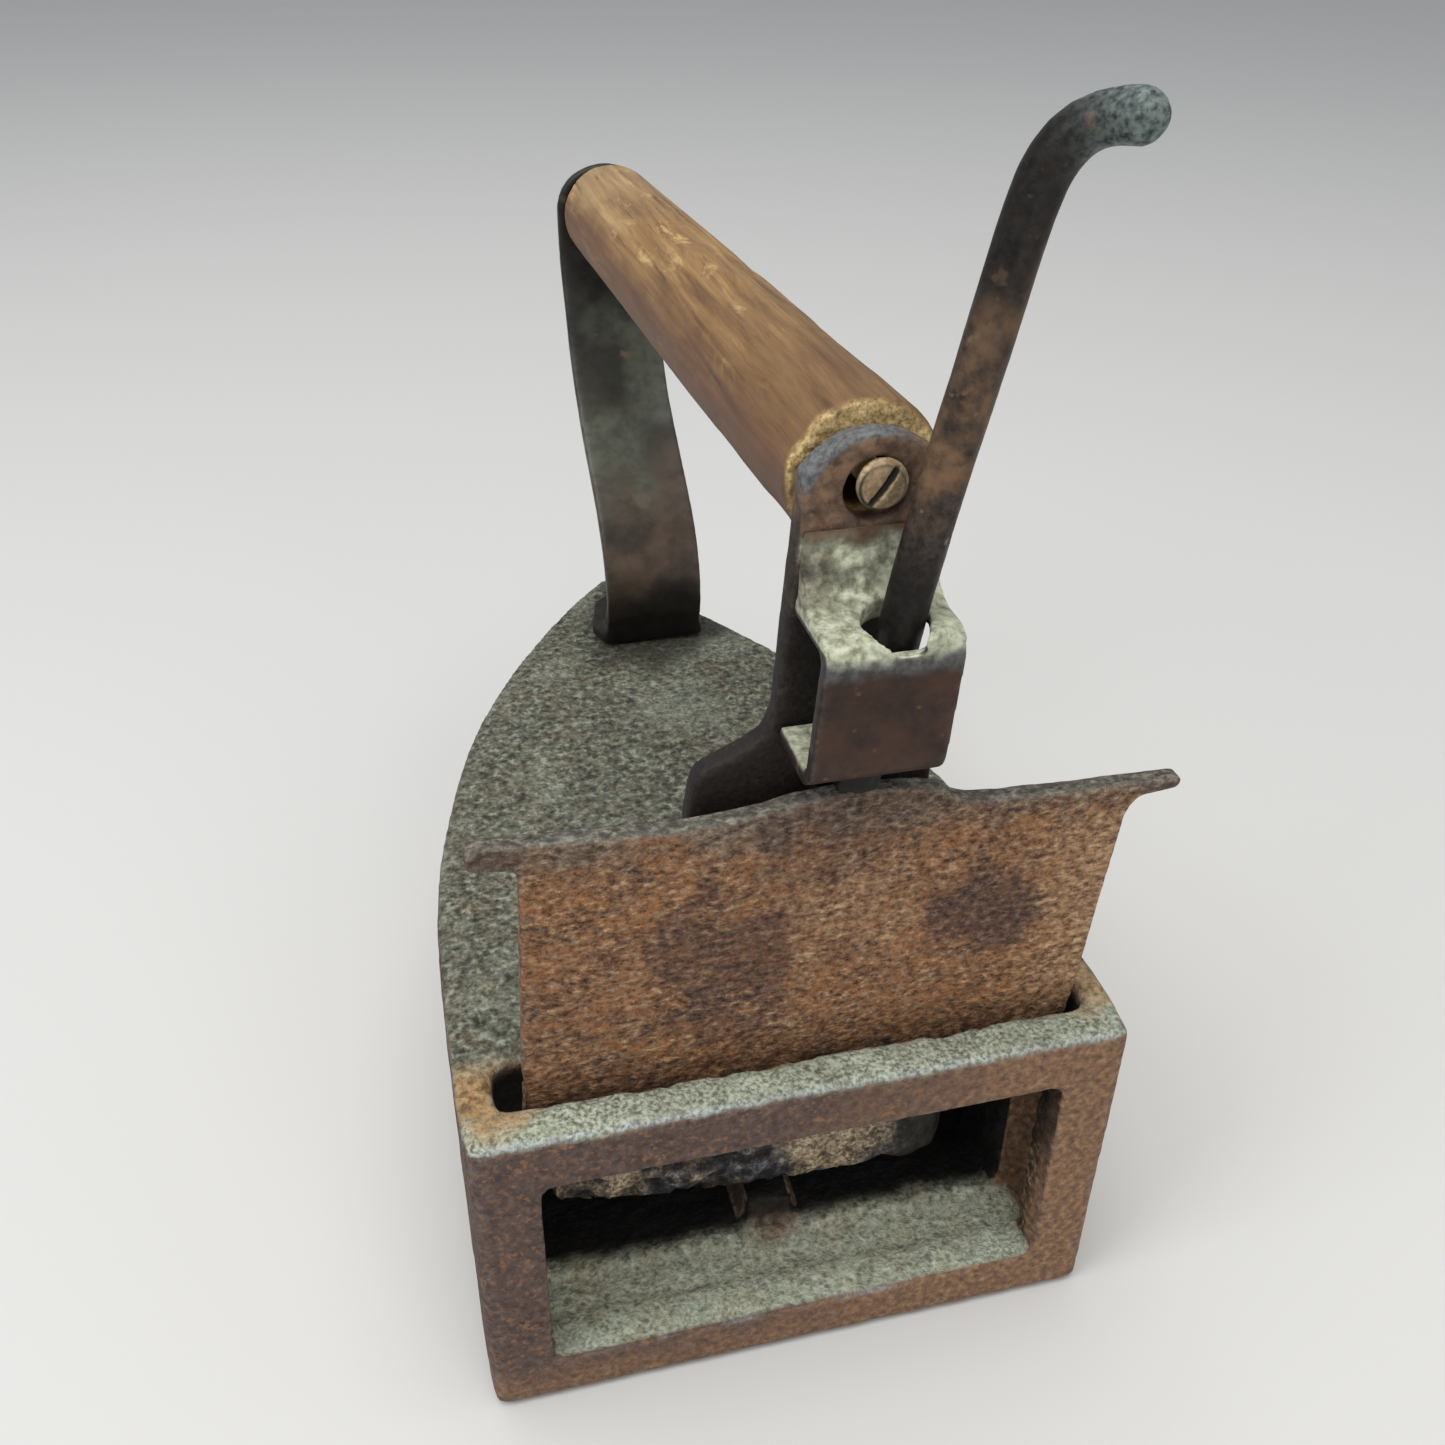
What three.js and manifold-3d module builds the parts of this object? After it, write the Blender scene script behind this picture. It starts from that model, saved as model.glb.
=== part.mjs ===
// Antique cast-iron box iron (slug iron) with a lifting gate at the heel.
// Millimetres, +Z up, +X to the right seen from behind the heel, +Y toward the toe.
// The origin lies on the sole, under the middle of the body's length.
import * as THREE from 'three';
import { mergeVertices, mergeGeometries } from 'three/addons/utils/BufferGeometryUtils.js';
import Module from 'manifold-3d';

const wasm = await Module();
wasm.setup();

// ---------------------------------------------------------------- driving dimensions
const GAP = 0.3;                 // clearance left between touching pieces
const BODY_L = 171.0;            // heel face to toe
const BODY_H = 61.6;             // sole to top plate
const HEEL_W = 104.0;            // body width at the heel
const FLOOR_Z = 10.3;            // inside floor
const CEIL_Z = 51.0;             // underside of the top plate
const HEEL_WALL = 7.9;           // thickness of the frame round the heel mouth
const MOUTH_HW = 41.1;           // half width of the heel mouth
const SLOT_Y0 = 7.9, SLOT_Y1 = 16.1, SLOT_X0 = -46.3, SLOT_X1 = 47.0;
const WALL = 10.4;               // side wall of the box
const RIB_TOP = 15.0;            // ribs that carry the slug

const SLUG_Z0 = RIB_TOP + GAP, SLUG_Z1 = 43.4;
const SLUG_EYE_R = 5.5;          // hole for the poker that pulls the hot slug

const GATE_Y0 = 9.4, GATE_T = 3.8;     // gate plate, rear face and thickness
const PIVOT_X = 4.9, PIVOT_Z = 103.4;  // rivet that joins gate and lift rod
const ROD_R = 3.1, ROD_LEAN = 0.185;   // lift rod radius and sideways lean of its lower end (dx/dz)
const ROD_Y = 11.1, ROD_Y_TOP = 9.5;   // rod axis above the palm and through the guide
// rod axis above the palm, [x, z], leaning a little more as it rises
const ROD_AXIS = [[7.95, 120], [9.2, 127], [10.6, 134.7], [11.98, 142.4], [13.55, 150.1], [15.2, 157.9], [16.97, 165.6], [18.75, 174], [20.27, 181]];
const HOOK = [[21.35, 9.5, 185.2], [22.5, 9.3, 188.7], [24.1, 8.8, 191.4], [26.0, 7.6, 193.3], [27.8, 5.8, 194.3], [29.5, 3.6, 194.7]];
const PALM_T = 2.0;

const UP_Y0 = 17.4, UP_T = 4.2;        // rear upright, rear face and thickness
const LUG_HOLE_X = 8.9, LUG_HOLE_Z = 148.9, LUG_HOLE_R = 4.2;
const BR_Y0 = 3.2, BR_T = 2.4;         // guide bracket, rear face of its web and strip thickness
const BR_TOP = 135.1, BR_BOT = 113.3, BR_HW = 9.55, BR_X = 7.2, BR_LEAN = 0.075;

const BOLT_R = 1.9, BOLT_HEAD_R = 3.5, BOLT_HEAD_T = 1.7;
const GRIP_A = new THREE.Vector3(9.0, 22.3, 148.4);    // centre of the grip's rear end
const GRIP_B = new THREE.Vector3(5.1, 180.5, 145.0);   // centre of the grip's front end
const GRIP_RA = 11.0, GRIP_RB = 10.4, GRIP_BORE = 3.9;
const BOLT_A = new THREE.Vector3(9.05, 22.3, 149.9);   // the bolt lies off the grip's axis at the rear
const BOLT_B = new THREE.Vector3(5.1, 180.5, 145.0);

const STRAP_T = 2.6, STRAP_X0 = -6.2, STRAP_X1 = 15.1; // front strap
const RIVET_R = 2.4;

// ---------------------------------------------------------------- helpers
function bare(geo) {
  const g = geo.index ? geo.clone() : geo.clone();
  for (const k of Object.keys(g.attributes)) if (k !== 'position') g.deleteAttribute(k);
  return mergeVertices(g, 1e-4);
}
function solid(geo) {
  const g = bare(geo);
  return new wasm.Manifold(new wasm.Mesh({
    numProp: 3,
    vertProperties: new Float32Array(g.attributes.position.array),
    triVerts: new Uint32Array(g.index.array),
  }));
}
function toGeo(man) {
  const m = man.getMesh();
  const g = new THREE.BufferGeometry();
  g.setAttribute('position', new THREE.BufferAttribute(new Float32Array(m.vertProperties), 3));
  g.setIndex(new THREE.BufferAttribute(new Uint32Array(m.triVerts), 1));
  g.computeVertexNormals();
  return g;
}
const join = (...list) => list.reduce((a, b) => a.add(b));
const cut = (a, ...list) => list.reduce((r, b) => r.subtract(b), a);

function shapeOf(all) {
  const s = new THREE.Shape();
  const pts = all.filter((p, i) => { const q = all[(i + all.length - 1) % all.length]; return Math.hypot(p[0] - q[0], p[1] - q[1]) > 0.04; });
  // points on a straight run are dropped
  for (let i = 0; i < pts.length; i++) {
    const a = pts[(i + pts.length - 1) % pts.length], p = pts[i], q = pts[(i + 1) % pts.length];
    const d = Math.abs((p[0] - a[0]) * (q[1] - a[1]) - (p[1] - a[1]) * (q[0] - a[0])) / Math.hypot(q[0] - a[0], q[1] - a[1]);
    if (d < 0.004) { pts.splice(i, 1); i -= 1; }
  }
  pts.forEach((p, i) => (i ? s.lineTo(p[0], p[1]) : s.moveTo(p[0], p[1])));
  s.closePath();
  return s;
}
// closed outline with rounded corners: each point is [a, b, radius]
function rounded(pts, seg = 5) {
  const out = [];
  const n = pts.length;
  for (let i = 0; i < n; i++) {
    const [x, y, r = 0] = pts[i];
    if (!r) { out.push([x, y]); continue; }
    const p = pts[(i + n - 1) % n], q = pts[(i + 1) % n];
    const u = new THREE.Vector2(p[0] - x, p[1] - y), v = new THREE.Vector2(q[0] - x, q[1] - y);
    const lu = u.length(), lv = v.length(); u.normalize(); v.normalize();
    const ang = Math.acos(THREE.MathUtils.clamp(u.dot(v), -1, 1));
    const t = Math.min(r / Math.tan(ang / 2), lu * 0.49, lv * 0.49);
    const a = new THREE.Vector2(x + u.x * t, y + u.y * t), b = new THREE.Vector2(x + v.x * t, y + v.y * t);
    for (let k = 0; k <= seg; k++) {
      const s = k / seg;
      out.push([(1 - s) * (1 - s) * a.x + 2 * s * (1 - s) * x + s * s * b.x,
        (1 - s) * (1 - s) * a.y + 2 * s * (1 - s) * y + s * s * b.y]);
    }
  }
  return out;
}
const AX_X = new THREE.Matrix4().makeBasis(new THREE.Vector3(0, 1, 0), new THREE.Vector3(0, 0, 1), new THREE.Vector3(1, 0, 0));
const AX_Y = new THREE.Matrix4().makeBasis(new THREE.Vector3(1, 0, 0), new THREE.Vector3(0, 0, 1), new THREE.Vector3(0, -1, 0));
// outline in X-Y, extruded from z0 to z1, with an optional bevel of size b
function prismZ(pts, z0, z1, b = 0, seg = 2) {
  const o = b ? { depth: z1 - z0 - 2 * b, bevelEnabled: true, bevelThickness: b, bevelSize: b, bevelOffset: -b, bevelSegments: seg }
    : { depth: z1 - z0, bevelEnabled: false };
  return new THREE.ExtrudeGeometry(shapeOf(pts), o).translate(0, 0, z0 + b);
}
// outline in Y-Z, extruded from x0 to x1
function prismX(pts, x0, x1, b = 0, seg = 2) {
  const o = b ? { depth: x1 - x0 - 2 * b, bevelEnabled: true, bevelThickness: b, bevelSize: b, bevelOffset: -b, bevelSegments: seg }
    : { depth: x1 - x0, bevelEnabled: false };
  return new THREE.ExtrudeGeometry(shapeOf(pts), o).translate(0, 0, x0 + b).applyMatrix4(AX_X);
}
// outline in X-Z, extruded from y0 to y1
function prismY(pts, y0, y1, b = 0, seg = 2) {
  const o = b ? { depth: y1 - y0 - 2 * b, bevelEnabled: true, bevelThickness: b, bevelSize: b, bevelOffset: -b, bevelSegments: seg }
    : { depth: y1 - y0, bevelEnabled: false };
  return new THREE.ExtrudeGeometry(shapeOf(pts), o).translate(0, 0, -y1 + b).applyMatrix4(AX_Y);
}
function box(x0, x1, y0, y1, z0, z1) {
  return new THREE.BoxGeometry(x1 - x0, y1 - y0, z1 - z0).translate((x0 + x1) / 2, (y0 + y1) / 2, (z0 + z1) / 2);
}
function cylZ(x, y, z0, z1, r, n = 28) {
  return new THREE.CylinderGeometry(r, r, z1 - z0, n).rotateX(Math.PI / 2).translate(x, y, (z0 + z1) / 2);
}
function cylY(x, z, y0, y1, r, n = 28) {
  return new THREE.CylinderGeometry(r, r, y1 - y0, n).translate(x, (y0 + y1) / 2, z);
}
function lathe(profile, n = 28) {          // profile of [radius, height], axis +Y
  return new THREE.LatheGeometry(profile.map(([r, h]) => new THREE.Vector2(r, h)), n);
}
const heel = new THREE.Group();            // everything is drawn from the heel face at y = 0
heel.position.set(0, -BODY_L / 2, 0);
const root = new THREE.Group();
root.add(heel);
function add(name, geo, colour, roughness, metalness, parent = heel) {
  const m = new THREE.Mesh(geo, new THREE.MeshStandardMaterial({ color: colour, roughness, metalness }));
  m.name = name;
  parent.add(m);
  return m;
}

// ---------------------------------------------------------------- body outline
// half width of the boat-shaped body against distance from the heel
const HALF = [[0, 52.0], [9.4, 52.4], [25, 52.35], [36.7, 52.2], [47.3, 51.8], [55.7, 51.2], [68.4, 49.6], [77.4, 47.8],
  [86.1, 45.8], [95.4, 43.3], [103.1, 41.0], [111.7, 37.9], [119.3, 34.5], [129.3, 29.6], [137.5, 25.0], [147.1, 19.2],
  [155.4, 13.5], [162.0, 8.7], [166.6, 5.0]];
function halfAt(y) {
  for (let i = 1; i < HALF.length; i++) {
    if (y <= HALF[i][0]) {
      const t = (y - HALF[i - 1][0]) / (HALF[i][0] - HALF[i - 1][0]);
      return HALF[i - 1][1] + t * (HALF[i][1] - HALF[i - 1][1]);
    }
  }
  return 0;
}
const sideCurve = new THREE.CatmullRomCurve3(HALF.map(([y, x]) => new THREE.Vector3(x, y, 0)), false, 'centripetal');
const side = sideCurve.getSpacedPoints(34).map((p) => [p.x, p.y]);
const toe = [[3.4, 168.4], [1.9, 170.2], [0, BODY_L]];
const outline = [];
const heelR = 1.8;
outline.push([52.0 - heelR, 0], [52.0 - 0.5, 0.5], [52.0, heelR]);
for (const p of side) if (p[1] > heelR + 0.5) outline.push(p);
for (const p of toe) outline.push(p);
for (const p of [...toe].reverse().slice(1)) outline.push([-p[0], p[1]]);
for (const p of [...side].reverse()) if (p[1] > heelR + 0.5) outline.push([-p[0], p[1]]);
outline.push([-52.0, heelR], [-52.0 + 0.5, 0.5], [-52.0 + heelR, 0]);

// inside outline, a wall thickness in from the sides
const inner = [];
for (let y = SLOT_Y1 - 4; y <= 148; y += 6) {
  const slope = (halfAt(y + 1) - halfAt(Math.max(0, y - 1))) / 2;
  const h = Math.min(MOUTH_HW, halfAt(y) - WALL * Math.sqrt(1 + slope * slope));
  if (h > 3) inner.push([h, y]);
}
const last = inner[inner.length - 1];
const innerOutline = [...inner, [last[0] * 0.45, last[1] + 2.6], [-last[0] * 0.45, last[1] + 2.6], ...[...inner].reverse().map(([x, y]) => [-x, y])];

// ---------------------------------------------------------------- body casting
const RIVET_AT = [[-9.0, 31.0], [13.0, 31.0]];
const FRONT_SCREW = [3.6, 150.0];
{
  let shell = solid(prismZ(outline, 0, BODY_H, 1.0, 2));
  let hollow = join(
    solid(box(-MOUTH_HW, MOUTH_HW, -2, 14, FLOOR_Z, CEIL_Z)),
    solid(prismZ(innerOutline, FLOOR_Z, CEIL_Z)),
    // slot in the top plate, running down the side walls as the gate's grooves
    solid(prismZ(rounded([[SLOT_X0, SLOT_Y0, 1.2], [SLOT_X1, SLOT_Y0, 1.2], [SLOT_X1, SLOT_Y1, 3], [SLOT_X0, SLOT_Y1, 3]], 3), FLOOR_Z - 0.9, BODY_H + 2)),
  );
  hollow = cut(hollow,
    solid(box(-5.2, 4.2, 18.2, 28.0, FLOOR_Z - 1, RIB_TOP)),
    solid(box(-5.2, 4.2, 44.5, 122.0, FLOOR_Z - 1, RIB_TOP)),
    solid(box(-27.0, -21.0, 36.0, 96.0, FLOOR_Z - 1, RIB_TOP)),
    solid(box(20.0, 26.0, 36.0, 96.0, FLOOR_Z - 1, RIB_TOP)));
  shell = cut(shell, hollow,
    ...RIVET_AT.map(([x, y]) => solid(cylZ(x, y, CEIL_Z - 2, BODY_H + 2, RIVET_R + GAP))),
    solid(cylZ(FRONT_SCREW[0], FRONT_SCREW[1], BODY_H - 12, BODY_H + 2, RIVET_R + GAP)));
  add('body_casting', toGeo(shell), 0x6b6a58, 0.85, 0.55);
}

// ---------------------------------------------------------------- heating slug
{
  const pts = [[-38.4, 26.0], [-37.6, 23.8], [-28, 22.0], [-13.3, 20.2], [-1, 19.1], [8.3, 18.9], [17.7, 19.2], [25.8, 20.7], [31.2, 22.2], [33.8, 25.5]];
  const right = [], left = [];
  for (let y = 34; y <= 124; y += 9) {
    const s = (halfAt(y + 1) - halfAt(y - 1)) / 2;
    const h = Math.min(MOUTH_HW, halfAt(y) - WALL * Math.sqrt(1 + s * s)) - 4.9;
    right.push([Math.min(h - 2.2, 34.0), y]); left.push([Math.max(-h - 2.2, -38.4), y]);
  }
  const tip = [[5.5, 131.5], [-1.5, 134.0], [-8.5, 131.5]];
  const outlineSlug = [...pts, ...right, ...tip, ...left.reverse()];
  const s = cut(solid(prismZ(outlineSlug, SLUG_Z0, SLUG_Z1, 1.6, 2)), solid(cylZ(-0.5, 36.2, SLUG_Z0 - 2, SLUG_Z1 + 2, SLUG_EYE_R)));
  add('heater_slug', toGeo(s), 0x3a302b, 0.95, 0.4);
}

// ---------------------------------------------------------------- gate
{
  const pts = rounded([
    [-43.2, 50.8, 1.0], [45.1, 50.8, 1.0], [45.95, 61.7], [49.0, 97.2, 3], [50.4, 99.5, 1], [57.0, 100.2, 1.2], [57.5, 102.5, 1.2],
    [43.0, 102.9], [30.0, 103.3], [24.0, 103.9, 2], [21.2, 104.9, 1], [19.6, 106.6, 1], [14.0, 107.7, 6], [6.0, 108.3, 6], [-1.9, 107.8, 3], [-6.4, 106.9], [-12.0, 106.2],
    [-17.7, 105.9], [-24.0, 106.4], [-34.0, 106.8], [-44.9, 107.6], [-47.5, 107.4, 1.3], [-47.3, 103.5, 0.8], [-40.5, 102.4, 1.2], [-42.6, 59.9]], 3);
  const g = cut(solid(prismY(pts, GATE_Y0, GATE_Y0 + GATE_T, 0.4, 1)),
    solid(lathe([[0, GATE_Y0 - 1], [3.5, GATE_Y0 - 1], [3.5, GATE_Y0], [2.35, GATE_Y0 + 1.3], [2.35, GATE_Y0 + GATE_T + 2], [0, GATE_Y0 + GATE_T + 2]], 28).translate(PIVOT_X, 0, PIVOT_Z)));
  add('gate_plate', toGeo(g), 0x7a4a2a, 0.95, 0.35);
}

// rivet through the hump of the gate and the palm of the lift rod
const GY1 = GATE_Y0 + GATE_T;              // front face of the gate
{
  const a = GATE_Y0, b = GY1 + GAP + PALM_T + GAP;
  const r = lathe([[0, a], [2.6, a], [3.15, a + 0.35], [2.0, a + 1.65], [2.0, b], [2.9, b], [2.6, b + 0.7], [1.5, b + 1.1], [0, b + 1.2]], 24);
  r.translate(PIVOT_X, 0, PIVOT_Z);
  add('gate_rivet', toGeo(solid(r)), 0x6a3f28, 0.9, 0.5);
}

// ---------------------------------------------------------------- lift rod
{
  const low = (z) => PIVOT_X + ROD_LEAN * (z - PIVOT_Z);
  const path = new THREE.CatmullRomCurve3([
    [low(108.9), ROD_Y, 108.9], [low(113.5), ROD_Y - 0.3, 113.5], ...ROD_AXIS.map(([x, z], i) => [x, i ? ROD_Y_TOP : ROD_Y_TOP + 0.5, z]),
    ...HOOK,
  ].map((p) => new THREE.Vector3(...p)), false, 'centripetal');
  const circle = [];
  for (let i = 0; i < 18; i++) circle.push([ROD_R * Math.cos((i / 18) * 2 * Math.PI), ROD_R * Math.sin((i / 18) * 2 * Math.PI)]);
  const tube = new THREE.ExtrudeGeometry(shapeOf(circle), { steps: 44, bevelEnabled: false, extrudePath: path });
  const tip = new THREE.SphereGeometry(ROD_R * 1.03, 18, 12).translate(...HOOK[HOOK.length - 1]);
  const slant = (x, z) => [x + ROD_LEAN * (z - PIVOT_Z) + PIVOT_X, z];
  const palm = rounded([slant(-4.3, 99.0).concat(2.5), slant(4.3, 99.0).concat(2.5), slant(4.3, 110.0).concat(1), slant(3.2, 112.2), slant(-3.2, 112.2), slant(-4.3, 110.0).concat(1)], 4);
  const y0 = GY1 + GAP, y1 = GY1 + GAP + PALM_T;
  const joggle = [slant(-3.1, 109.0), slant(3.1, 109.0), slant(3.1, 112.3), slant(-3.1, 112.3)];
  const r = cut(join(solid(tube), solid(tip), solid(prismY(palm, y0, y1)), solid(prismY(joggle, ROD_Y - 2.6, y1 - 0.2))),
    solid(cylY(PIVOT_X, PIVOT_Z, y0 - 1, y1 + 1, 2.35)));
  add('lift_rod', toGeo(r), 0x3b322e, 0.45, 0.8);
}

// ---------------------------------------------------------------- rear upright
const leanX = (z) => 8.2 + 0.0722 * (z - 148.0);       // centre line leans to the right
{
  const pts = rounded([
    [-15.8, BODY_H + GAP], [20.8, BODY_H + GAP], [20.8, 107.5, 4.5], [leanX(112.5) + 10.2, 112.5, 5], [leanX(120) + 10.2, 120],
    [leanX(148) + 10.2, 148], [leanX(151.6) + 10.2, 151.6, 1.8], [16.2, 154.0], [12.9, 156.0], [8.7, 156.8], [4.6, 156.1], [1.4, 154.0],
    [leanX(151.6) - 9.5, 151.6, 1.8], [leanX(148) - 9.4, 148], [leanX(134) - 9.4, 134], [leanX(118) - 9.4, 117.4, 1], [-4.8, 113.6, 2], [-8.2, 111.6, 3], [-14.7, 108.8, 4.2], [-15.9, 101.0]], 5);
  const plate = solid(prismY(pts, UP_Y0, UP_Y0 + UP_T, 0.5, 1));
  const foot = solid(prismZ(rounded([[-15.8, UP_Y0 + 1], [20.8, UP_Y0 + 1], [20.8, 39.0, 4], [-15.8, 39.0, 4]], 4), BODY_H + GAP, BODY_H + GAP + 3.6));
  // inside fillet where the plate turns into its foot
  const fy = UP_Y0 + UP_T, fz = BODY_H + GAP + 3.6;
  const fil = [[fy - 1, fz - 1], [fy + 3, fz - 1], [fy + 3, fz], [fy + 1.5, fz + 0.4], [fy + 0.4, fz + 1.5], [fy, fz + 3], [fy - 1, fz + 3]];
  const u = cut(join(plate, foot, solid(prismX(fil, -15.2, 20.2))),
    solid(cylY(LUG_HOLE_X, LUG_HOLE_Z, UP_Y0 - 2, UP_Y0 + UP_T + 2, LUG_HOLE_R, 32)),
    ...RIVET_AT.map(([x, y]) => solid(cylZ(x, y, BODY_H - 2, BODY_H + 8, RIVET_R + GAP))));
  add('rear_upright', toGeo(u), 0x4a3a30, 0.8, 0.6);
}
// the two rivets that hold the upright's foot to the top plate
RIVET_AT.forEach(([x, y], i) => {
  const top = BODY_H + GAP + 3.6 + GAP, low = CEIL_Z - GAP;
  const r = lathe([[0, low - 1.8], [2.6, low - 1.5], [3.9, low], [RIVET_R, low], [RIVET_R, top], [4.3, top], [4.0, top + 1.1], [2.6, top + 2.1], [0, top + 2.5]], 24);
  r.rotateX(Math.PI / 2).translate(x, y, 0);
  add(i ? 'upright_rivet_right' : 'upright_rivet_left', toGeo(solid(r)), 0x4c3b30, 0.75, 0.6);
});

// ---------------------------------------------------------------- guide bracket for the lift rod
{
  const R = BR_T + 1.2, r = 1.2, f = UP_Y0 - GAP;
  const arc = (cy, cz, rad, a0, a1, n = 4) => Array.from({ length: n + 1 }, (_, k) => {
    const a = THREE.MathUtils.degToRad(a0 + ((a1 - a0) * k) / n);
    return [cy + rad * Math.cos(a), cz + rad * Math.sin(a)];
  });
  const yc = BR_Y0 + R;
  const prof = [
    [f, BR_TOP - BR_T], [f, 144.4], [f - 0.5, 144.2], [f - 1.2, 141.0], [f - 2.0, 138.4], [f - 3.2, 136.5], [f - 4.8, 135.5], [f - 6.5, BR_TOP],
    ...arc(yc, BR_TOP - R, R, 90, 180), ...arc(yc, BR_BOT + R, R, 180, 270), [f, BR_BOT], [f, BR_BOT + BR_T],
    ...arc(yc, BR_BOT + R, r, 270, 180), ...arc(yc, BR_TOP - R, r, 180, 90),
  ];
  const geo = prismX(prof, -BR_HW, BR_HW);
  geo.applyMatrix4(new THREE.Matrix4().makeShear(0, 0, 0, 0, BR_LEAN, 0)).translate(BR_X - BR_LEAN * 124.0, 0, 0);
  const b = cut(solid(geo),
    solid(cylZ(9.7, 8.35, BR_TOP - BR_T - 0.2, BR_TOP + 2.4, 4.85, 32)),
    solid(cylZ(7.8, 10.9, BR_BOT - 2, BR_BOT + 5, 4.9, 32)));
  add('guide_bracket', toGeo(b), 0x4b3128, 0.55, 0.7);
}

// ---------------------------------------------------------------- grip, its bolt and nut
{
  const dir = GRIP_B.clone().sub(GRIP_A);
  const L = dir.length(); dir.normalize();
  const g = new THREE.Group();
  g.position.copy(GRIP_A);
  g.quaternion.setFromUnitVectors(new THREE.Vector3(0, 1, 0), dir);
  heel.add(g);
  const wood = lathe([[GRIP_BORE, 0], [GRIP_RA - 0.8, 0], [GRIP_RA, 0.9], [GRIP_RA + 0.05, 12], [GRIP_RA, L * 0.35], [GRIP_RB + 0.25, L * 0.7], [GRIP_RB, L - 1.0], [GRIP_RB - 0.9, L], [GRIP_BORE, L], [GRIP_BORE, 0]], 40);
  add('grip', toGeo(solid(wood)), 0x9a6a3c, 0.6, 0, g);
  const along = BOLT_B.clone().sub(BOLT_A);
  const LB = along.length(); along.normalize();
  const b = new THREE.Group();
  b.position.copy(BOLT_A);
  b.quaternion.setFromUnitVectors(new THREE.Vector3(0, 1, 0), along);
  heel.add(b);
  const h0 = UP_Y0 - GAP - BOLT_A.y;       // underside of the bolt head along its axis
  const nutY = LB + 0.8 + STRAP_T + 0.75;
  const bolt = lathe([[0, h0 - BOLT_HEAD_T], [1.7, h0 - BOLT_HEAD_T + 0.05], [2.9, h0 - BOLT_HEAD_T + 0.4], [BOLT_HEAD_R, h0 - 0.7], [BOLT_HEAD_R, h0], [BOLT_R, h0],
    [BOLT_R, nutY + 5.0], [1.6, nutY + 5.8], [0, nutY + 6.0]], 32);
  const slotCut = new THREE.BoxGeometry(1.0, 1.4, 12).rotateY(THREE.MathUtils.degToRad(36)).translate(0, h0 - BOLT_HEAD_T, 0);
  add('handle_bolt', toGeo(cut(solid(bolt), solid(slotCut))), 0xa08a62, 0.45, 0.8, b);
  const nut = cut(solid(new THREE.BoxGeometry(9.4, 3.8, 9.4).rotateY(0.35).translate(0, nutY + 1.9, 0)),
    solid(new THREE.CylinderGeometry(BOLT_R + GAP, BOLT_R + GAP, 12, 28).translate(0, nutY + 2, 0)));
  add('bolt_nut', toGeo(nut), 0x4a3a30, 0.7, 0.7, b);
}

// ---------------------------------------------------------------- front strap
{
  const z0 = BODY_H + GAP;
  // rear face of the strap, from the foot up to the grip's front end
  const rear = [[136.6, z0 + STRAP_T], [134.7, 68.5], [134.4, 74.0], [136.2, 81.0], [140.4, 87.6], [146.6, 93.2], [154.0, 98.6], [161.8, 104.6],
    [168.2, 110.8], [172.8, 117.6], [176.2, 125.0], [179.2, 130.4], [181.0, 134.2], [181.5, 138.5], [181.5, 144.0], [181.5, 156.5]];
  const c = new THREE.CatmullRomCurve3(rear.map(([y, z]) => new THREE.Vector3(y, z, 0)), false, 'centripetal');
  const n = 40;
  const A = [], B = [];
  for (let i = 0; i <= n; i++) {
    const p = c.getPointAt(i / n), t = c.getTangentAt(i / n);
    A.push([p.x, p.y]);
    B.push([p.x + t.y * STRAP_T, p.y - t.x * STRAP_T]);
  }
  const prof = [...A.slice(1), ...B.slice(3).reverse(), [140.4, z0 + STRAP_T + 2.2], [142.6, z0 + STRAP_T + 0.2], [142.6, z0 + 0.4], [137.4, z0 + 0.4], [136.2, z0 + 1.2]];
  // wider pad on the plate, then the strap's own width, then its rounded top
  const pad = solid(prismZ(rounded([[STRAP_X0 - 0.6, 136.4], [STRAP_X1 + 0.6, 136.4], [15.9, 141], [11.8, 152, 2], [8.4, 157.2, 3], [-1.4, 157.2, 3], [-6.4, 152, 2], [-8.7, 142.0, 1.5]], 3), z0, z0 + STRAP_T + 0.6));
  const cx = (STRAP_X0 + STRAP_X1) / 2, hw = (STRAP_X1 - STRAP_X0) / 2;
  const corner = (sx) => [[cx + sx * (hw + 3), 146.0], [cx + sx * (hw + 3), 160.0], [cx, 160.0], ...Array.from({ length: 9 }, (_, k) => {
    const t = (Math.PI / 2) * (1 - k / 8.6); return [cx + sx * hw * Math.cos(t), 145.4 + 10.4 * Math.sin(t)];
  })];
  let s = cut(join(solid(prismX(prof, STRAP_X0, STRAP_X1)), pad), solid(prismY(corner(1), 170, 200)), solid(prismY(corner(-1).reverse(), 170, 200)));
  s = cut(s, solid(cylY(GRIP_B.x, GRIP_B.z, 170, 195, BOLT_R + GAP + 0.2)), solid(cylZ(FRONT_SCREW[0], FRONT_SCREW[1], z0 - 2, z0 + 6, RIVET_R + GAP)));
  add('front_strap', toGeo(s), 0x46443a, 0.6, 0.7);
}
// slotted screw that holds the strap's foot
{
  const top = BODY_H + GAP + STRAP_T + 0.6 + GAP;
  const r = lathe([[0, BODY_H - 11], [RIVET_R, BODY_H - 10], [RIVET_R, top], [4.4, top], [4.2, top + 1.0], [3.0, top + 1.9], [1.4, top + 2.3], [0, top + 2.4]], 28);
  r.rotateX(Math.PI / 2);
  const slotCut = new THREE.BoxGeometry(12, 1.0, 1.6).rotateZ(0.5).translate(0, 0, top + 2.4);
  const g = toGeo(cut(solid(r), solid(slotCut)));
  g.translate(FRONT_SCREW[0], FRONT_SCREW[1], 0);
  add('front_foot_screw', g, 0x5a4c3c, 0.6, 0.7);
}

export default root;
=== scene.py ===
import bpy
import math
import numpy as np
from mathutils import Matrix, Vector


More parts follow.
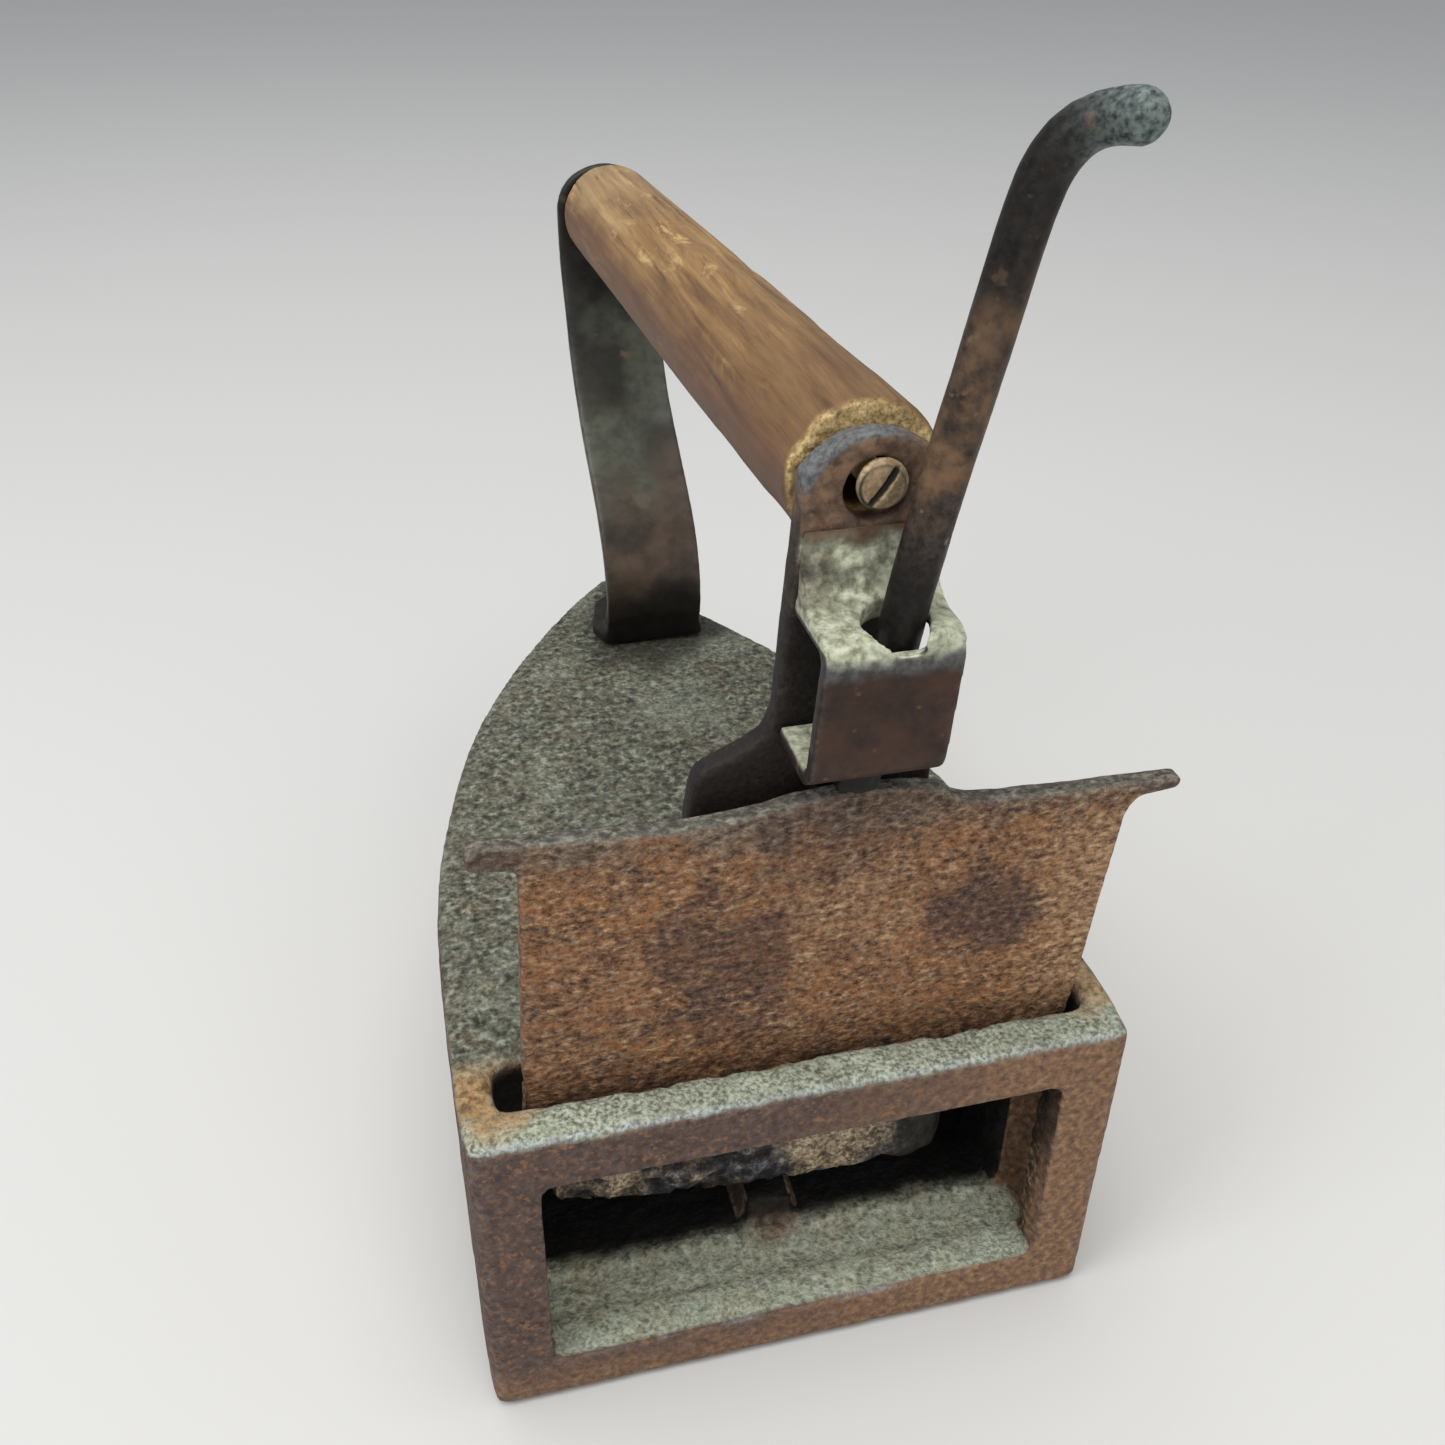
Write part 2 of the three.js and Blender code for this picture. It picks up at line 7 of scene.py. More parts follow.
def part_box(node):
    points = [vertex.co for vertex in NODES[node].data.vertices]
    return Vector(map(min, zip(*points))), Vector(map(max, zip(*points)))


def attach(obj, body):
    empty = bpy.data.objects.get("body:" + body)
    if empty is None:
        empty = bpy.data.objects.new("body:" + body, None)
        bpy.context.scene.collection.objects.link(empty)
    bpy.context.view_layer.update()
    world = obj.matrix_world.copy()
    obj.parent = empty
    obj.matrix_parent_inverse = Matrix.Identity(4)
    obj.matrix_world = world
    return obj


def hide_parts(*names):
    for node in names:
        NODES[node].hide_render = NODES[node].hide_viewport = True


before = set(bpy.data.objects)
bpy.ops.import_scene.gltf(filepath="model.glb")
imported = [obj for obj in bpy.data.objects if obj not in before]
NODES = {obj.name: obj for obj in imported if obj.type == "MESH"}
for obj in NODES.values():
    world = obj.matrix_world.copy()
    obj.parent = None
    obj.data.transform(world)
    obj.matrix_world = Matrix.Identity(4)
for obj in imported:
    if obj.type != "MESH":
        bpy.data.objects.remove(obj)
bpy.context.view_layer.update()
scene = bpy.context.scene


# ------------------------------------------------------------------ numbers read from the frame
def mm_box(node):
    lo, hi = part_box(node)
    return np.array(lo) * 1000.0, np.array(hi) * 1000.0


BODY_LO, BODY_HI = mm_box("body_casting")
GATE_LO, GATE_HI = mm_box("gate_plate")
SLUG_LO, SLUG_HI = mm_box("heater_slug")
ROD_LO, ROD_HI = mm_box("lift_rod")
UP_LO, UP_HI = mm_box("rear_upright")
BR_LO, BR_HI = mm_box("guide_bracket")
GRIP_LO, GRIP_HI = mm_box("grip")
STRAP_LO, STRAP_HI = mm_box("front_strap")
HEEL_Y = BODY_LO[1]
TOP_Z = BODY_HI[2]


# ------------------------------------------------------------------ noise on arrays of points (mm)
def _corner(ix, iy, iz, seed):
    with np.errstate(over="ignore"):
        h = (ix.astype(np.uint32) * np.uint32(374761393) + iy.astype(np.uint32) * np.uint32(668265263)
             + iz.astype(np.uint32) * np.uint32(2246822519) + np.uint32(seed * 7919 + 17))
        h ^= h >> np.uint32(15)
        h *= np.uint32(2246822519)
        h ^= h >> np.uint32(13)
        h *= np.uint32(3266489917)
        h ^= h >> np.uint32(16)
    return h.astype(np.float64) / 4294967295.0


def noise(P, size, seed=0):
    """Smooth value noise, -1 to 1, with features about `size` mm across (a number or one per axis)."""
    Q = P / np.asarray(size, float) + 517.0
    I = np.floor(Q).astype(np.int64)
    F = Q - I
    U = F * F * F * (F * (F * 6 - 15) + 10)
    out = 0.0
    for dx in (0, 1):
        wx = U[:, 0] if dx else 1 - U[:, 0]
        for dy in (0, 1):
            wy = U[:, 1] if dy else 1 - U[:, 1]
            for dz in (0, 1):
                wz = U[:, 2] if dz else 1 - U[:, 2]
                out = out + wx * wy * wz * _corner(I[:, 0] + dx, I[:, 1] + dy, I[:, 2] + dz, seed)
    return out * 2 - 1


def fbm(P, size, seed=0, octaves=3, gain=0.5):
    total, amp, norm = 0.0, 1.0, 0.0
    size = np.asarray(size, float)
    for k in range(octaves):
        total = total + amp * noise(P, size / 2 ** k, seed + 31 * k)
        norm += amp
        amp *= gain
    return total / norm


def cells(P, size, seed=0):
    """Distance to the nearest of scattered points, 0 at a point and about 1 between them."""
    Q = P / np.asarray(size, float) + 311.0
    I = np.floor(Q).astype(np.int64)
    best = np.full(len(P), 9.0)
    for dx in (-1, 0, 1):
        for dy in (-1, 0, 1):
            for dz in (-1, 0, 1):
                X, Y, Z = I[:, 0] + dx, I[:, 1] + dy, I[:, 2] + dz
                ox, oy, oz = (_corner(X, Y, Z, seed + s) for s in (1, 2, 3))
                d = (X + ox - Q[:, 0]) ** 2 + (Y + oy - Q[:, 1]) ** 2 + (Z + oz - Q[:, 2]) ** 2
                best = np.minimum(best, d)
    return np.sqrt(best)


def step(a, b, v):
    t = np.clip((v - a) / (b - a), 0, 1)
    return t * t * (3 - 2 * t)


def near(P, centre, radius, seed=5, ragged=0.35, size=4.0):
    d = np.linalg.norm(P - np.array(centre, float), axis=1) / radius
    return 1 - step(0.45, 1.0, d + ragged * fbm(P, size, seed))


# ------------------------------------------------------------------ mesh work
def neighbours_mean(co, edges):
    n = len(co)
    a, b = edges[:, 0], edges[:, 1]
    cnt = np.bincount(a, minlength=n) + np.bincount(b, minlength=n)
    out = np.empty_like(co)
    for k in range(3):
        out[:, k] = np.bincount(a, co[b, k], n) + np.bincount(b, co[a, k], n)
    return out / np.maximum(cnt, 1)[:, None]


def relax(co, edges, rounds, weight=0.5):
    for _ in range(rounds):
        co = co + weight * (neighbours_mean(co, edges) - co)
    return co


def fair(co, edges, rounds):
    """Smooths without shrinking (a pass in, a pass out)."""
    for _ in range(rounds):
        co = co + 0.5 * (neighbours_mean(co, edges) - co)
        co = co - 0.52 * (neighbours_mean(co, edges) - co)
    return co


def normals_of(me):
    n = np.empty(len(me.vertices) * 3, np.float32)
    me.vertex_normals.foreach_get("vector", n)
    return n.reshape(-1, 3).astype(float)


def sculpt(name, nodes, body, voxel, shape, masks=None, smooth=2, shrinkless=2, curv_rounds=6, extra=None):
    """A fine mesh grown from CAD nodes: voxel remesh, rounded edges, then shape(P, N, info) moves
    each point along its normal by millimetres. It never leaves the CAD node's own box."""
    me = bpy.data.meshes.new(name)
    verts, faces = [], []
    for n in nodes:
        src = NODES[n].data
        base = len(verts)
        verts += [tuple(v.co) for v in src.vertices]
        faces += [tuple(i + base for i in p.vertices) for p in src.polygons]
    if extra:
        base = len(verts)
        verts += [tuple(c / 1000.0 for c in v) for v in extra[0]]
        faces += [tuple(i + base for i in f) for f in extra[1]]
    me.from_pydata(verts, [], faces)
    me.update()
    ob = bpy.data.objects.new(name, me)
    scene.collection.objects.link(ob)
    rm = ob.modifiers.new("grain", "REMESH")
    rm.mode = "VOXEL"
    rm.voxel_size = voxel / 1000.0
    rm.adaptivity = 0.0
    dg = bpy.context.evaluated_depsgraph_get()
    fine = bpy.data.meshes.new_from_object(ob.evaluated_get(dg))
    ob.modifiers.clear()
    ob.data = fine
    fine.name = name
    bpy.data.meshes.remove(me)
    fine.materials.clear()
    co = np.empty(len(fine.vertices) * 3, np.float32)
    fine.vertices.foreach_get("co", co)
    co = co.reshape(-1, 3).astype(float) * 1000.0
    ed = np.empty(len(fine.edges) * 2, np.int32)
    fine.edges.foreach_get("vertices", ed)
    ed = ed.reshape(-1, 2)
    co = fair(co, ed, shrinkless)
    co = relax(co, ed, smooth)

    def put(c):
        fine.vertices.foreach_set("co", (c / 1000.0).astype(np.float32).ravel())
        fine.update()
    put(co)
    N = normals_of(fine)
    soft = relax(co, ed, curv_rounds)
    curv = np.einsum("ij,ij->i", N, co - soft) / voxel
    lo = np.min([mm_box(n)[0] for n in nodes], axis=0)
    hi = np.max([mm_box(n)[1] for n in nodes], axis=0)
    info = {"curv": curv, "edges": ed, "lo": lo, "hi": hi}
    d = shape(co, N, info)
    new = co + N * np.asarray(d)[:, None] if np.ndim(d) == 1 else co + d
    new = np.clip(new, lo, hi)
    put(new)
    info["disp"] = np.einsum("ij,ij->i", N, new - co)
    layers = {"wear": np.clip(curv * 1.6, 0, 1), "hollow": np.clip(-curv * 1.6, 0, 1)}
    if masks:
        layers.update(masks(new, N, info))
    for key, val in layers.items():
        at = fine.attributes.new(key, "FLOAT", "POINT")
        at.data.foreach_set("value", np.clip(val, 0, 1).astype(np.float32))
    fine.polygons.foreach_set("use_smooth", np.ones(len(fine.polygons), bool))
    fine.update()
    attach(ob, body)
    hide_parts(*nodes)
    return ob


# ------------------------------------------------------------------ material kit
def lin(c):
    out = []
    for v in c:
        v = v / 255.0
        out.append(v / 12.92 if v <= 0.04045 else ((v + 0.055) / 1.055) ** 2.4)
    return (*out, 1.0)


class Mat:
    def __init__(self, name, metallic=0.0, specular=0.5):
        self.m = bpy.data.materials.new(name)
        self.m.use_nodes = True
        self.nt = self.m.node_tree
        self.bsdf = self.nt.nodes["Principled BSDF"]
        self.bsdf.inputs["Metallic"].default_value = metallic
        self.bsdf.inputs["Specular IOR Level"].default_value = specular
        tc = self.new("ShaderNodeTexCoord")
        sc = self.new("ShaderNodeVectorMath")
        sc.operation = "SCALE"
        self.link(tc.outputs["Object"], sc.inputs[0])
        sc.inputs["Scale"].default_value = 1000.0
        self.mm = sc.outputs[0]

    def new(self, kind):
        return self.nt.nodes.new(kind)

    def link(self, a, b):
        self.nt.links.new(a, b)

    def put(self, sock, v):
        if isinstance(v, (int, float)):
            sock.default_value = v
        elif isinstance(v, tuple):
            sock.default_value = v
        else:
            self.link(v, sock)

    def vec(self, stretch=(1, 1, 1), shift=(0, 0, 0)):
        n = self.new("ShaderNodeMapping")
        self.link(self.mm, n.inputs["Vector"])
        n.inputs["Scale"].default_value = stretch
        n.inputs["Location"].default_value = shift
        return n.outputs[0]

    def noise(self, size, detail=4.0, rough=0.55, dist=0.0, stretch=None, shift=None, lo=0.35, hi=0.65):
        """0 to 1 noise with features about `size` mm; lo and hi set where it saturates."""
        n = self.new("ShaderNodeTexNoise")
        self.link(self.vec(stretch or (1, 1, 1), shift or (0, 0, 0)), n.inputs["Vector"])
        n.inputs["Scale"].default_value = 1.0 / size
        n.inputs["Detail"].default_value = detail
        n.inputs["Roughness"].default_value = rough
        n.inputs["Distortion"].default_value = dist
        return self.range(n.outputs["Fac"], lo, hi)

    def voronoi(self, size, feature="F1", rand=1.0, lo=0.0, hi=1.0, stretch=None):
        n = self.new("ShaderNodeTexVoronoi")
        n.feature = feature
        self.link(self.vec(stretch or (1, 1, 1)), n.inputs["Vector"])
        n.inputs["Scale"].default_value = 1.0 / size
        n.inputs["Randomness"].default_value = rand
        return self.range(n.outputs["Distance"], lo, hi)

    def range(self, v, lo, hi, a=0.0, b=1.0, smooth=False):
        n = self.new("ShaderNodeMapRange")
        n.interpolation_type = "SMOOTHSTEP" if smooth else "LINEAR"
        n.clamp = True
        self.put(n.inputs["Value"], v)
        n.inputs["From Min"].default_value = lo
        n.inputs["From Max"].default_value = hi
        n.inputs["To Min"].default_value = a
        n.inputs["To Max"].default_value = b
        return n.outputs["Result"]

    def math(self, op, a, b=0.0, c=0.0, clamp=False):
        n = self.new("ShaderNodeMath")
        n.operation = op
        n.use_clamp = clamp
        self.put(n.inputs[0], a)
        self.put(n.inputs[1], b)
        self.put(n.inputs[2], c)
        return n.outputs[0]

    def mul(self, *v):
        out = v[0]
        for w in v[1:]:
            out = self.math("MULTIPLY", out, w, clamp=True)
        return out

    def add(self, *v):
        out = v[0]
        for w in v[1:]:
            out = self.math("ADD", out, w)
        return out

    def attr(self, name):
        n = self.new("ShaderNodeAttribute")
        n.attribute_type = "GEOMETRY"
        n.attribute_name = name
        return n.outputs["Fac"]

    def mix(self, fac, a, b, blend="MIX"):
        n = self.new("ShaderNodeMix")
        n.data_type = "RGBA"
        n.blend_type = blend
        n.clamp_factor = True
        self.put(n.inputs[0], fac)
        self.put(n.inputs[6], a)
        self.put(n.inputs[7], b)
        return n.outputs[2]

    def ramp(self, fac, stops):
        n = self.new("ShaderNodeValToRGB")
        self.put(n.inputs[0], fac)
        el = n.color_ramp.elements
        while len(el) > 1:
            el.remove(el[-1])
        el[0].position, el[0].color = stops[0][0], lin(stops[0][1])
        for p, c in stops[1:]:
            e = el.new(p)
            e.color = lin(c)
        return n.outputs["Color"]

    def bump(self, height, strength, depth_mm, prev=None):
        n = self.new("ShaderNodeBump")
        n.inputs["Strength"].default_value = strength
        n.inputs["Distance"].default_value = depth_mm / 1000.0
        self.put(n.inputs["Height"], height)
        if prev is not None:
            self.link(prev, n.inputs["Normal"])
        return n.outputs["Normal"]

    def done(self, colour, rough, normal=None):
        self.put(self.bsdf.inputs["Base Color"], colour)
        self.put(self.bsdf.inputs["Roughness"], rough)
        if normal is not None:
            self.link(normal, self.bsdf.inputs["Normal"])
        return self.m


# ------------------------------------------------------------------ materials
def mat_casting():
    m = Mat("sand_cast_iron", 0.0, 0.35)
    grain = m.noise(1.5, 3, 0.65, lo=0.36, hi=0.64)
    fine = m.noise(0.7, 2, 0.6, lo=0.36, hi=0.64, shift=(13, 7, 3))
    blotch = m.noise(14, 4, 0.6, lo=0.36, hi=0.64)
    mid = m.noise(5, 3, 0.6, lo=0.4, hi=0.62, shift=(3, 30, 9))
    pits = m.voronoi(1.9, "F1", lo=0.16, hi=0.55)
    # rusty heel and sides
    speck = m.noise(1.1, 2, 0.55, lo=0.55, hi=0.63, shift=(31, 3, 17))
    rust = m.ramp(m.noise(1.2, 4, 0.6, lo=0.28, hi=0.72, shift=(8, 21, 5)), [(0.0, (56, 44, 41)), (0.5, (84, 67, 60)), (0.8, (100, 81, 70)), (1.0, (130, 106, 90))])
    rust = m.mix(m.mul(blotch, 0.5), rust, m.ramp(grain, [(0, (60, 49, 48)), (0.6, (86, 71, 68)), (1, (104, 90, 84))]))
    warm = m.ramp(m.noise(1.3, 4, 0.6, lo=0.32, hi=0.68, shift=(8, 2, 15)), [(0, (84, 62, 49)), (0.5, (124, 95, 72)), (1, (158, 126, 94))])
    rust = m.mix(m.attr("warm"), rust, warm)
    rust = m.mix(m.mul(speck, m.range(mid, 0.0, 1.0, 0.15, 0.6)), rust, lin((146, 104, 70)))
    # grey-green dusty plate
    plate = m.ramp(grain, [(0.0, (40, 41, 35)), (0.3, (78, 79, 68)), (0.65, (104, 106, 92)), (1.0, (146, 150, 134))])
    plate = m.mix(m.mul(mid, 0.5), plate, m.ramp(fine, [(0, (66, 58, 46)), (0.6, (102, 91, 73)), (1, (130, 118, 96))]))
    plate = m.mix(m.mul(m.range(pits, 0.5, 0.0), 0.7), plate, lin((38, 37, 33)))
    plate = m.mix(m.mul(blotch, 0.3), plate, m.ramp(grain, [(0, (46, 50, 46)), (0.6, (84, 90, 82)), (1, (120, 126, 116))]))
    worn = m.noise(4.2, 4, 0.65, lo=0.56, hi=0.66, shift=(51, 3, 9))
    plate = m.mix(m.mul(worn, 0.45), plate, m.ramp(fine, [(0, (104, 106, 92)), (1, (150, 154, 138))]))
    # pale dust
    dust = m.ramp(fine, [(0, (116, 122, 106)), (0.5, (154, 160, 142)), (1, (184, 190, 172))])
    orange = m.ramp(grain, [(0, (120, 86, 48)), (0.5, (156, 120, 76)), (1, (176, 146, 102))])
    red = m.ramp(grain, [(0, (92, 62, 48)), (0.6, (124, 88, 70)), (1, (142, 112, 92))])
    floor = m.ramp(grain, [(0, (96, 100, 88)), (0.35, (150, 156, 138)), (0.75, (176, 180, 160)), (1, (204, 206, 184))])
    floor = m.mix(m.mul(mid, 0.4), floor, m.ramp(fine, [(0, (120, 106, 82)), (1, (178, 158, 122))]))
    floor = m.mix(m.mul(m.range(pits, 0.5, 0.0), 0.6), floor, lin((64, 64, 56)))
    # near-black colour of the painted shade inside the cavity
    dark = m.ramp(grain, [(0, (7, 6, 6)), (0.7, (16, 14, 12)), (1, (26, 22, 18))])
    wall = m.ramp(grain, [(0, (30, 24, 18)), (0.5, (84, 66, 46)), (1, (148, 124, 92))])
    c = m.mix(m.attr("top"), rust, plate)
    c = m.mix(m.attr("floor"), c, floor)
    c = m.mix(m.attr("wall"), c, wall)
    c = m.mix(m.mul(m.attr("dust"), m.range(fine, 0.0, 0.5, 0.6, 1.0)), c, dust)
    c = m.mix(m.mul(m.attr("orange"), m.range(grain, 0.0, 0.6, 0.55, 1.0)), c, orange)
    c = m.mix(m.attr("red"), c, red)
    c = m.mix(m.mul(m.attr("line"), m.noise(4.0, 3, 0.6, lo=0.22, hi=0.5)), c, m.ramp(fine, [(0, (116, 124, 130)), (1, (190, 200, 206))]))
    c = m.mix(m.mul(m.attr("wear"), m.range(grain, 0.35, 0.8), 0.45), c, lin((122, 122, 118)))
    c = m.mix(m.mul(m.attr("hollow"), 0.7), c, lin((28, 24, 21)))
    # painted shade: near black on the cavity floor beyond the slug's rear face, on its side walls and soffit, and down
    # inside the gate slot
    c = m.mix(m.attr("cavity_shade"), c, dark)
    c = m.mix(m.mul(m.attr("shadow"), 0.7), c, lin((34, 32, 27)))
    h = m.add(m.math("MULTIPLY", grain, 0.6), m.math("MULTIPLY", fine, 0.25), m.math("MULTIPLY", pits, 0.35))
    nrm = m.bump(h, 0.8, 0.42)
    rough = m.range(m.attr("line"), 0.0, 1.0, 0.88, 0.42)
    return m.done(c, rough, nrm)


def mat_gate():
    m = Mat("rusted_plate", 0.0, 0.35)
    grain = m.noise(1.05, 4, 0.7, stretch=(0.7, 1, 1.15), lo=0.36, hi=0.64)
    fine = m.noise(0.5, 2, 0.6, lo=0.36, hi=0.64, shift=(4, 9, 1))
    blotch = m.noise(13, 4, 0.65, lo=0.38, hi=0.62)
    mid = m.noise(3.4, 3, 0.6, stretch=(0.7, 1, 1.1), lo=0.4, hi=0.62, shift=(31, 3, 9))
    grey = m.noise(1.2, 3, 0.6, lo=0.54, hi=0.66, shift=(9, 41, 2))
    c = m.ramp(grain, [(0.0, (52, 35, 27)), (0.3, (100, 71, 51)), (0.6, (134, 99, 70)), (0.85, (160, 124, 90)), (1.0, (184, 154, 120))])
    dark = m.ramp(grain, [(0.0, (56, 41, 36)), (0.5, (98, 76, 64)), (1.0, (134, 110, 92))])
    c = m.mix(m.mul(blotch, 0.55), c, dark)
    c = m.mix(m.mul(mid, fine, 0.7), c, lin((166, 112, 68)))
    c = m.mix(m.mul(grey, 0.5), c, m.ramp(fine, [(0, (112, 102, 88)), (1, (156, 146, 128))]))
    c = m.mix(m.mul(m.attr("bright"), m.range(grain, 0.0, 0.5, 0.5, 1.0)), c, m.ramp(grain, [(0.0, (112, 82, 58)), (0.5, (158, 124, 92)), (1.0, (196, 166, 130))]))
    c = m.mix(m.mul(m.attr("purple"), 0.75), c, m.ramp(grain, [(0, (40, 29, 29)), (0.6, (76, 57, 54)), (1, (104, 84, 76))]))
    c = m.mix(m.mul(m.attr("low"), 0.6), c, m.ramp(grain, [(0, (44, 29, 21)), (0.5, (110, 78, 52)), (1, (158, 118, 80))]))
    topc = m.ramp(grain, [(0, (50, 48, 44)), (0.45, (90, 87, 78)), (1, (146, 143, 131))])
    topc = m.mix(m.mul(mid, 0.5), topc, lin((84, 81, 76)))
    c = m.mix(m.attr("top"), c, topc)
    c = m.mix(m.attr("lug"), c, m.ramp(grain, [(0, (48, 38, 34)), (0.55, (86, 69, 60)), (1, (112, 98, 88))]))
    # painted highlight: pale grey on the rounded top edges
    c = m.mix(m.mul(m.attr("edge_highlight"), m.noise(2.4, 3, 0.6, lo=0.34, hi=0.56)), c, m.ramp(fine, [(0, (122, 114, 104)), (1, (184, 178, 166))]))
    c = m.mix(m.mul(m.attr("hollow"), 0.7), c, lin((34, 24, 19)))
    c = m.mix(m.mul(m.attr("wear"), m.range(grain, 0.4, 0.9), 0.3), c, lin((132, 122, 110)))
    h = m.add(m.math("MULTIPLY", grain, 0.7), m.math("MULTIPLY", fine, 0.3))
    nrm = m.bump(h, 0.95, 0.42)
    return m.done(c, m.range(m.attr("edge_highlight"), 0, 1, 0.92, 0.5), nrm)


def mat_slug():
    m = Mat("burnt_scale", 0.0, 0.4)
    grain = m.noise(2.2, 4, 0.65, lo=0.36, hi=0.64)
    fine = m.noise(0.8, 3, 0.6, lo=0.36, hi=0.64)
    blue = m.noise(5.0, 3, 0.6, lo=0.45, hi=0.62, shift=(21, 5, 7))
    c = m.ramp(grain, [(0, (16, 15, 15)), (0.4, (46, 44, 45)), (0.75, (92, 86, 84)), (1, (150, 142, 134))])
    c = m.mix(m.mul(blue, 0.6), c, m.ramp(fine, [(0, (40, 42, 50)), (0.6, (86, 90, 104)), (1, (142, 148, 164))]))
    tan = m.ramp(fine, [(0, (100, 86, 68)), (0.45, (160, 142, 116)), (1, (206, 188, 158))])
    tan = m.mix(m.mul(m.range(grain, 0.45, 0.0), 0.8), tan, lin((64, 54, 44)))
    c = m.mix(m.attr("tan"), c, tan)
    c = m.mix(m.attr("smooth"), c, m.ramp(grain, [(0, (26, 25, 23)), (1, (62, 60, 54))]))
    c = m.mix(m.mul(m.attr("hollow"), 0.85), c, lin((8, 7, 7)))
    # painted shade: black along the slug's lower edge, and black in its deepest clefts
    c = m.mix(m.attr("black"), c, lin((9, 8, 8)))
    nrm = m.bump(m.add(m.math("MULTIPLY", grain, 0.6), m.math("MULTIPLY", fine, 0.4)), 0.8, 0.5)
    return m.done(c, 0.85, nrm)


def mat_iron(name, tones, spec=0.45, rough=0.6, size=2.4, bump=0.25, dust=None, hot=None, extra=None, metallic=0.0):
    """Forged iron: mottled brown to grey, worn bright on its edges, dark in its hollows."""
    m = Mat(name, metallic, spec)
    grain = m.noise(size, 5, 0.6, lo=0.34, hi=0.66)
    fine = m.noise(size * 0.3, 3, 0.6, lo=0.34, hi=0.66, shift=(5, 1, 8))
    blotch = m.noise(size * 5, 4, 0.6, 0.4, lo=0.38, hi=0.62)
    a, b, d, e = tones
    c = m.ramp(grain, [(0.0, a), (0.55, b), (1.0, d)])
    c = m.mix(m.mul(blotch, 0.7), c, m.ramp(fine, [(0, a), (1, e)]))
    specks = m.noise(size * 0.8, 2, 0.5, lo=0.66, hi=0.72, shift=(40, 2, 11))
    c = m.mix(m.mul(specks, 0.7), c, lin((140, 112, 88)))
    if hot:
        c = m.mix(m.mul(m.attr("hot"), m.range(grain, 0.1, 0.7, 0.45, 1.0)), c, m.ramp(grain, [(0, hot[0]), (1, hot[1])]))
    if extra:
        c = m.mix(m.mul(m.attr("extra"), m.range(fine, 0.0, 0.6, 0.8, 1.0)), c, m.ramp(fine, [(0, extra[0]), (1, extra[1])]))
    if name == "guide_strip":
        c = m.mix(m.attr("lug"), c, m.ramp(grain, [(0, (84, 63, 48)), (1, (126, 99, 78))]))
    if dust:
        dusty = m.noise(1.1, 4, 0.7, lo=0.32, hi=0.56, shift=(1, 12, 5))
        dc = m.ramp(fine, [(0, dust[0]), (0.5, dust[1]), (1, dust[2])])
        c = m.mix(m.mul(m.attr("dust"), m.range(dusty, 0.0, 0.8, 0.72, 1.0)), c, dc)
    wear = m.mul(m.attr("wear"), m.range(fine, 0.2, 0.9), 0.5)
    hollow = m.mul(m.attr("hollow"), 0.7)
    if dust:
        bare = m.range(m.attr("dust"), 0.2, 0.8, 1.0, 0.15)
        wear, hollow = m.mul(wear, bare), m.mul(hollow, bare)
    c = m.mix(wear, c, lin((112, 110, 108)))
    c = m.mix(hollow, c, lin((20, 17, 15)))
    # painted shade from the per-part "dark" mask: near black on the rod in its guide, the upright behind the gate, the
    # bracket's inner faces and the strap's foot, plus darker upper rod and strap
    c = m.mix(m.mul(m.attr("dark"), 0.93), c, m.ramp(fine, [(0, (10, 8, 7)), (1, (25, 21, 18))]))
    h = m.add(m.math("MULTIPLY", grain, 0.6), m.math("MULTIPLY", fine, 0.4))
    nrm = m.bump(h, bump, 0.3)
    if dust:
        r = m.range(m.attr("dust"), 0.0, 0.6, rough, 0.95)
    else:
        r = m.range(grain, 0, 1, rough - 0.08, rough + 0.14)
    return m.done(c, r, nrm)


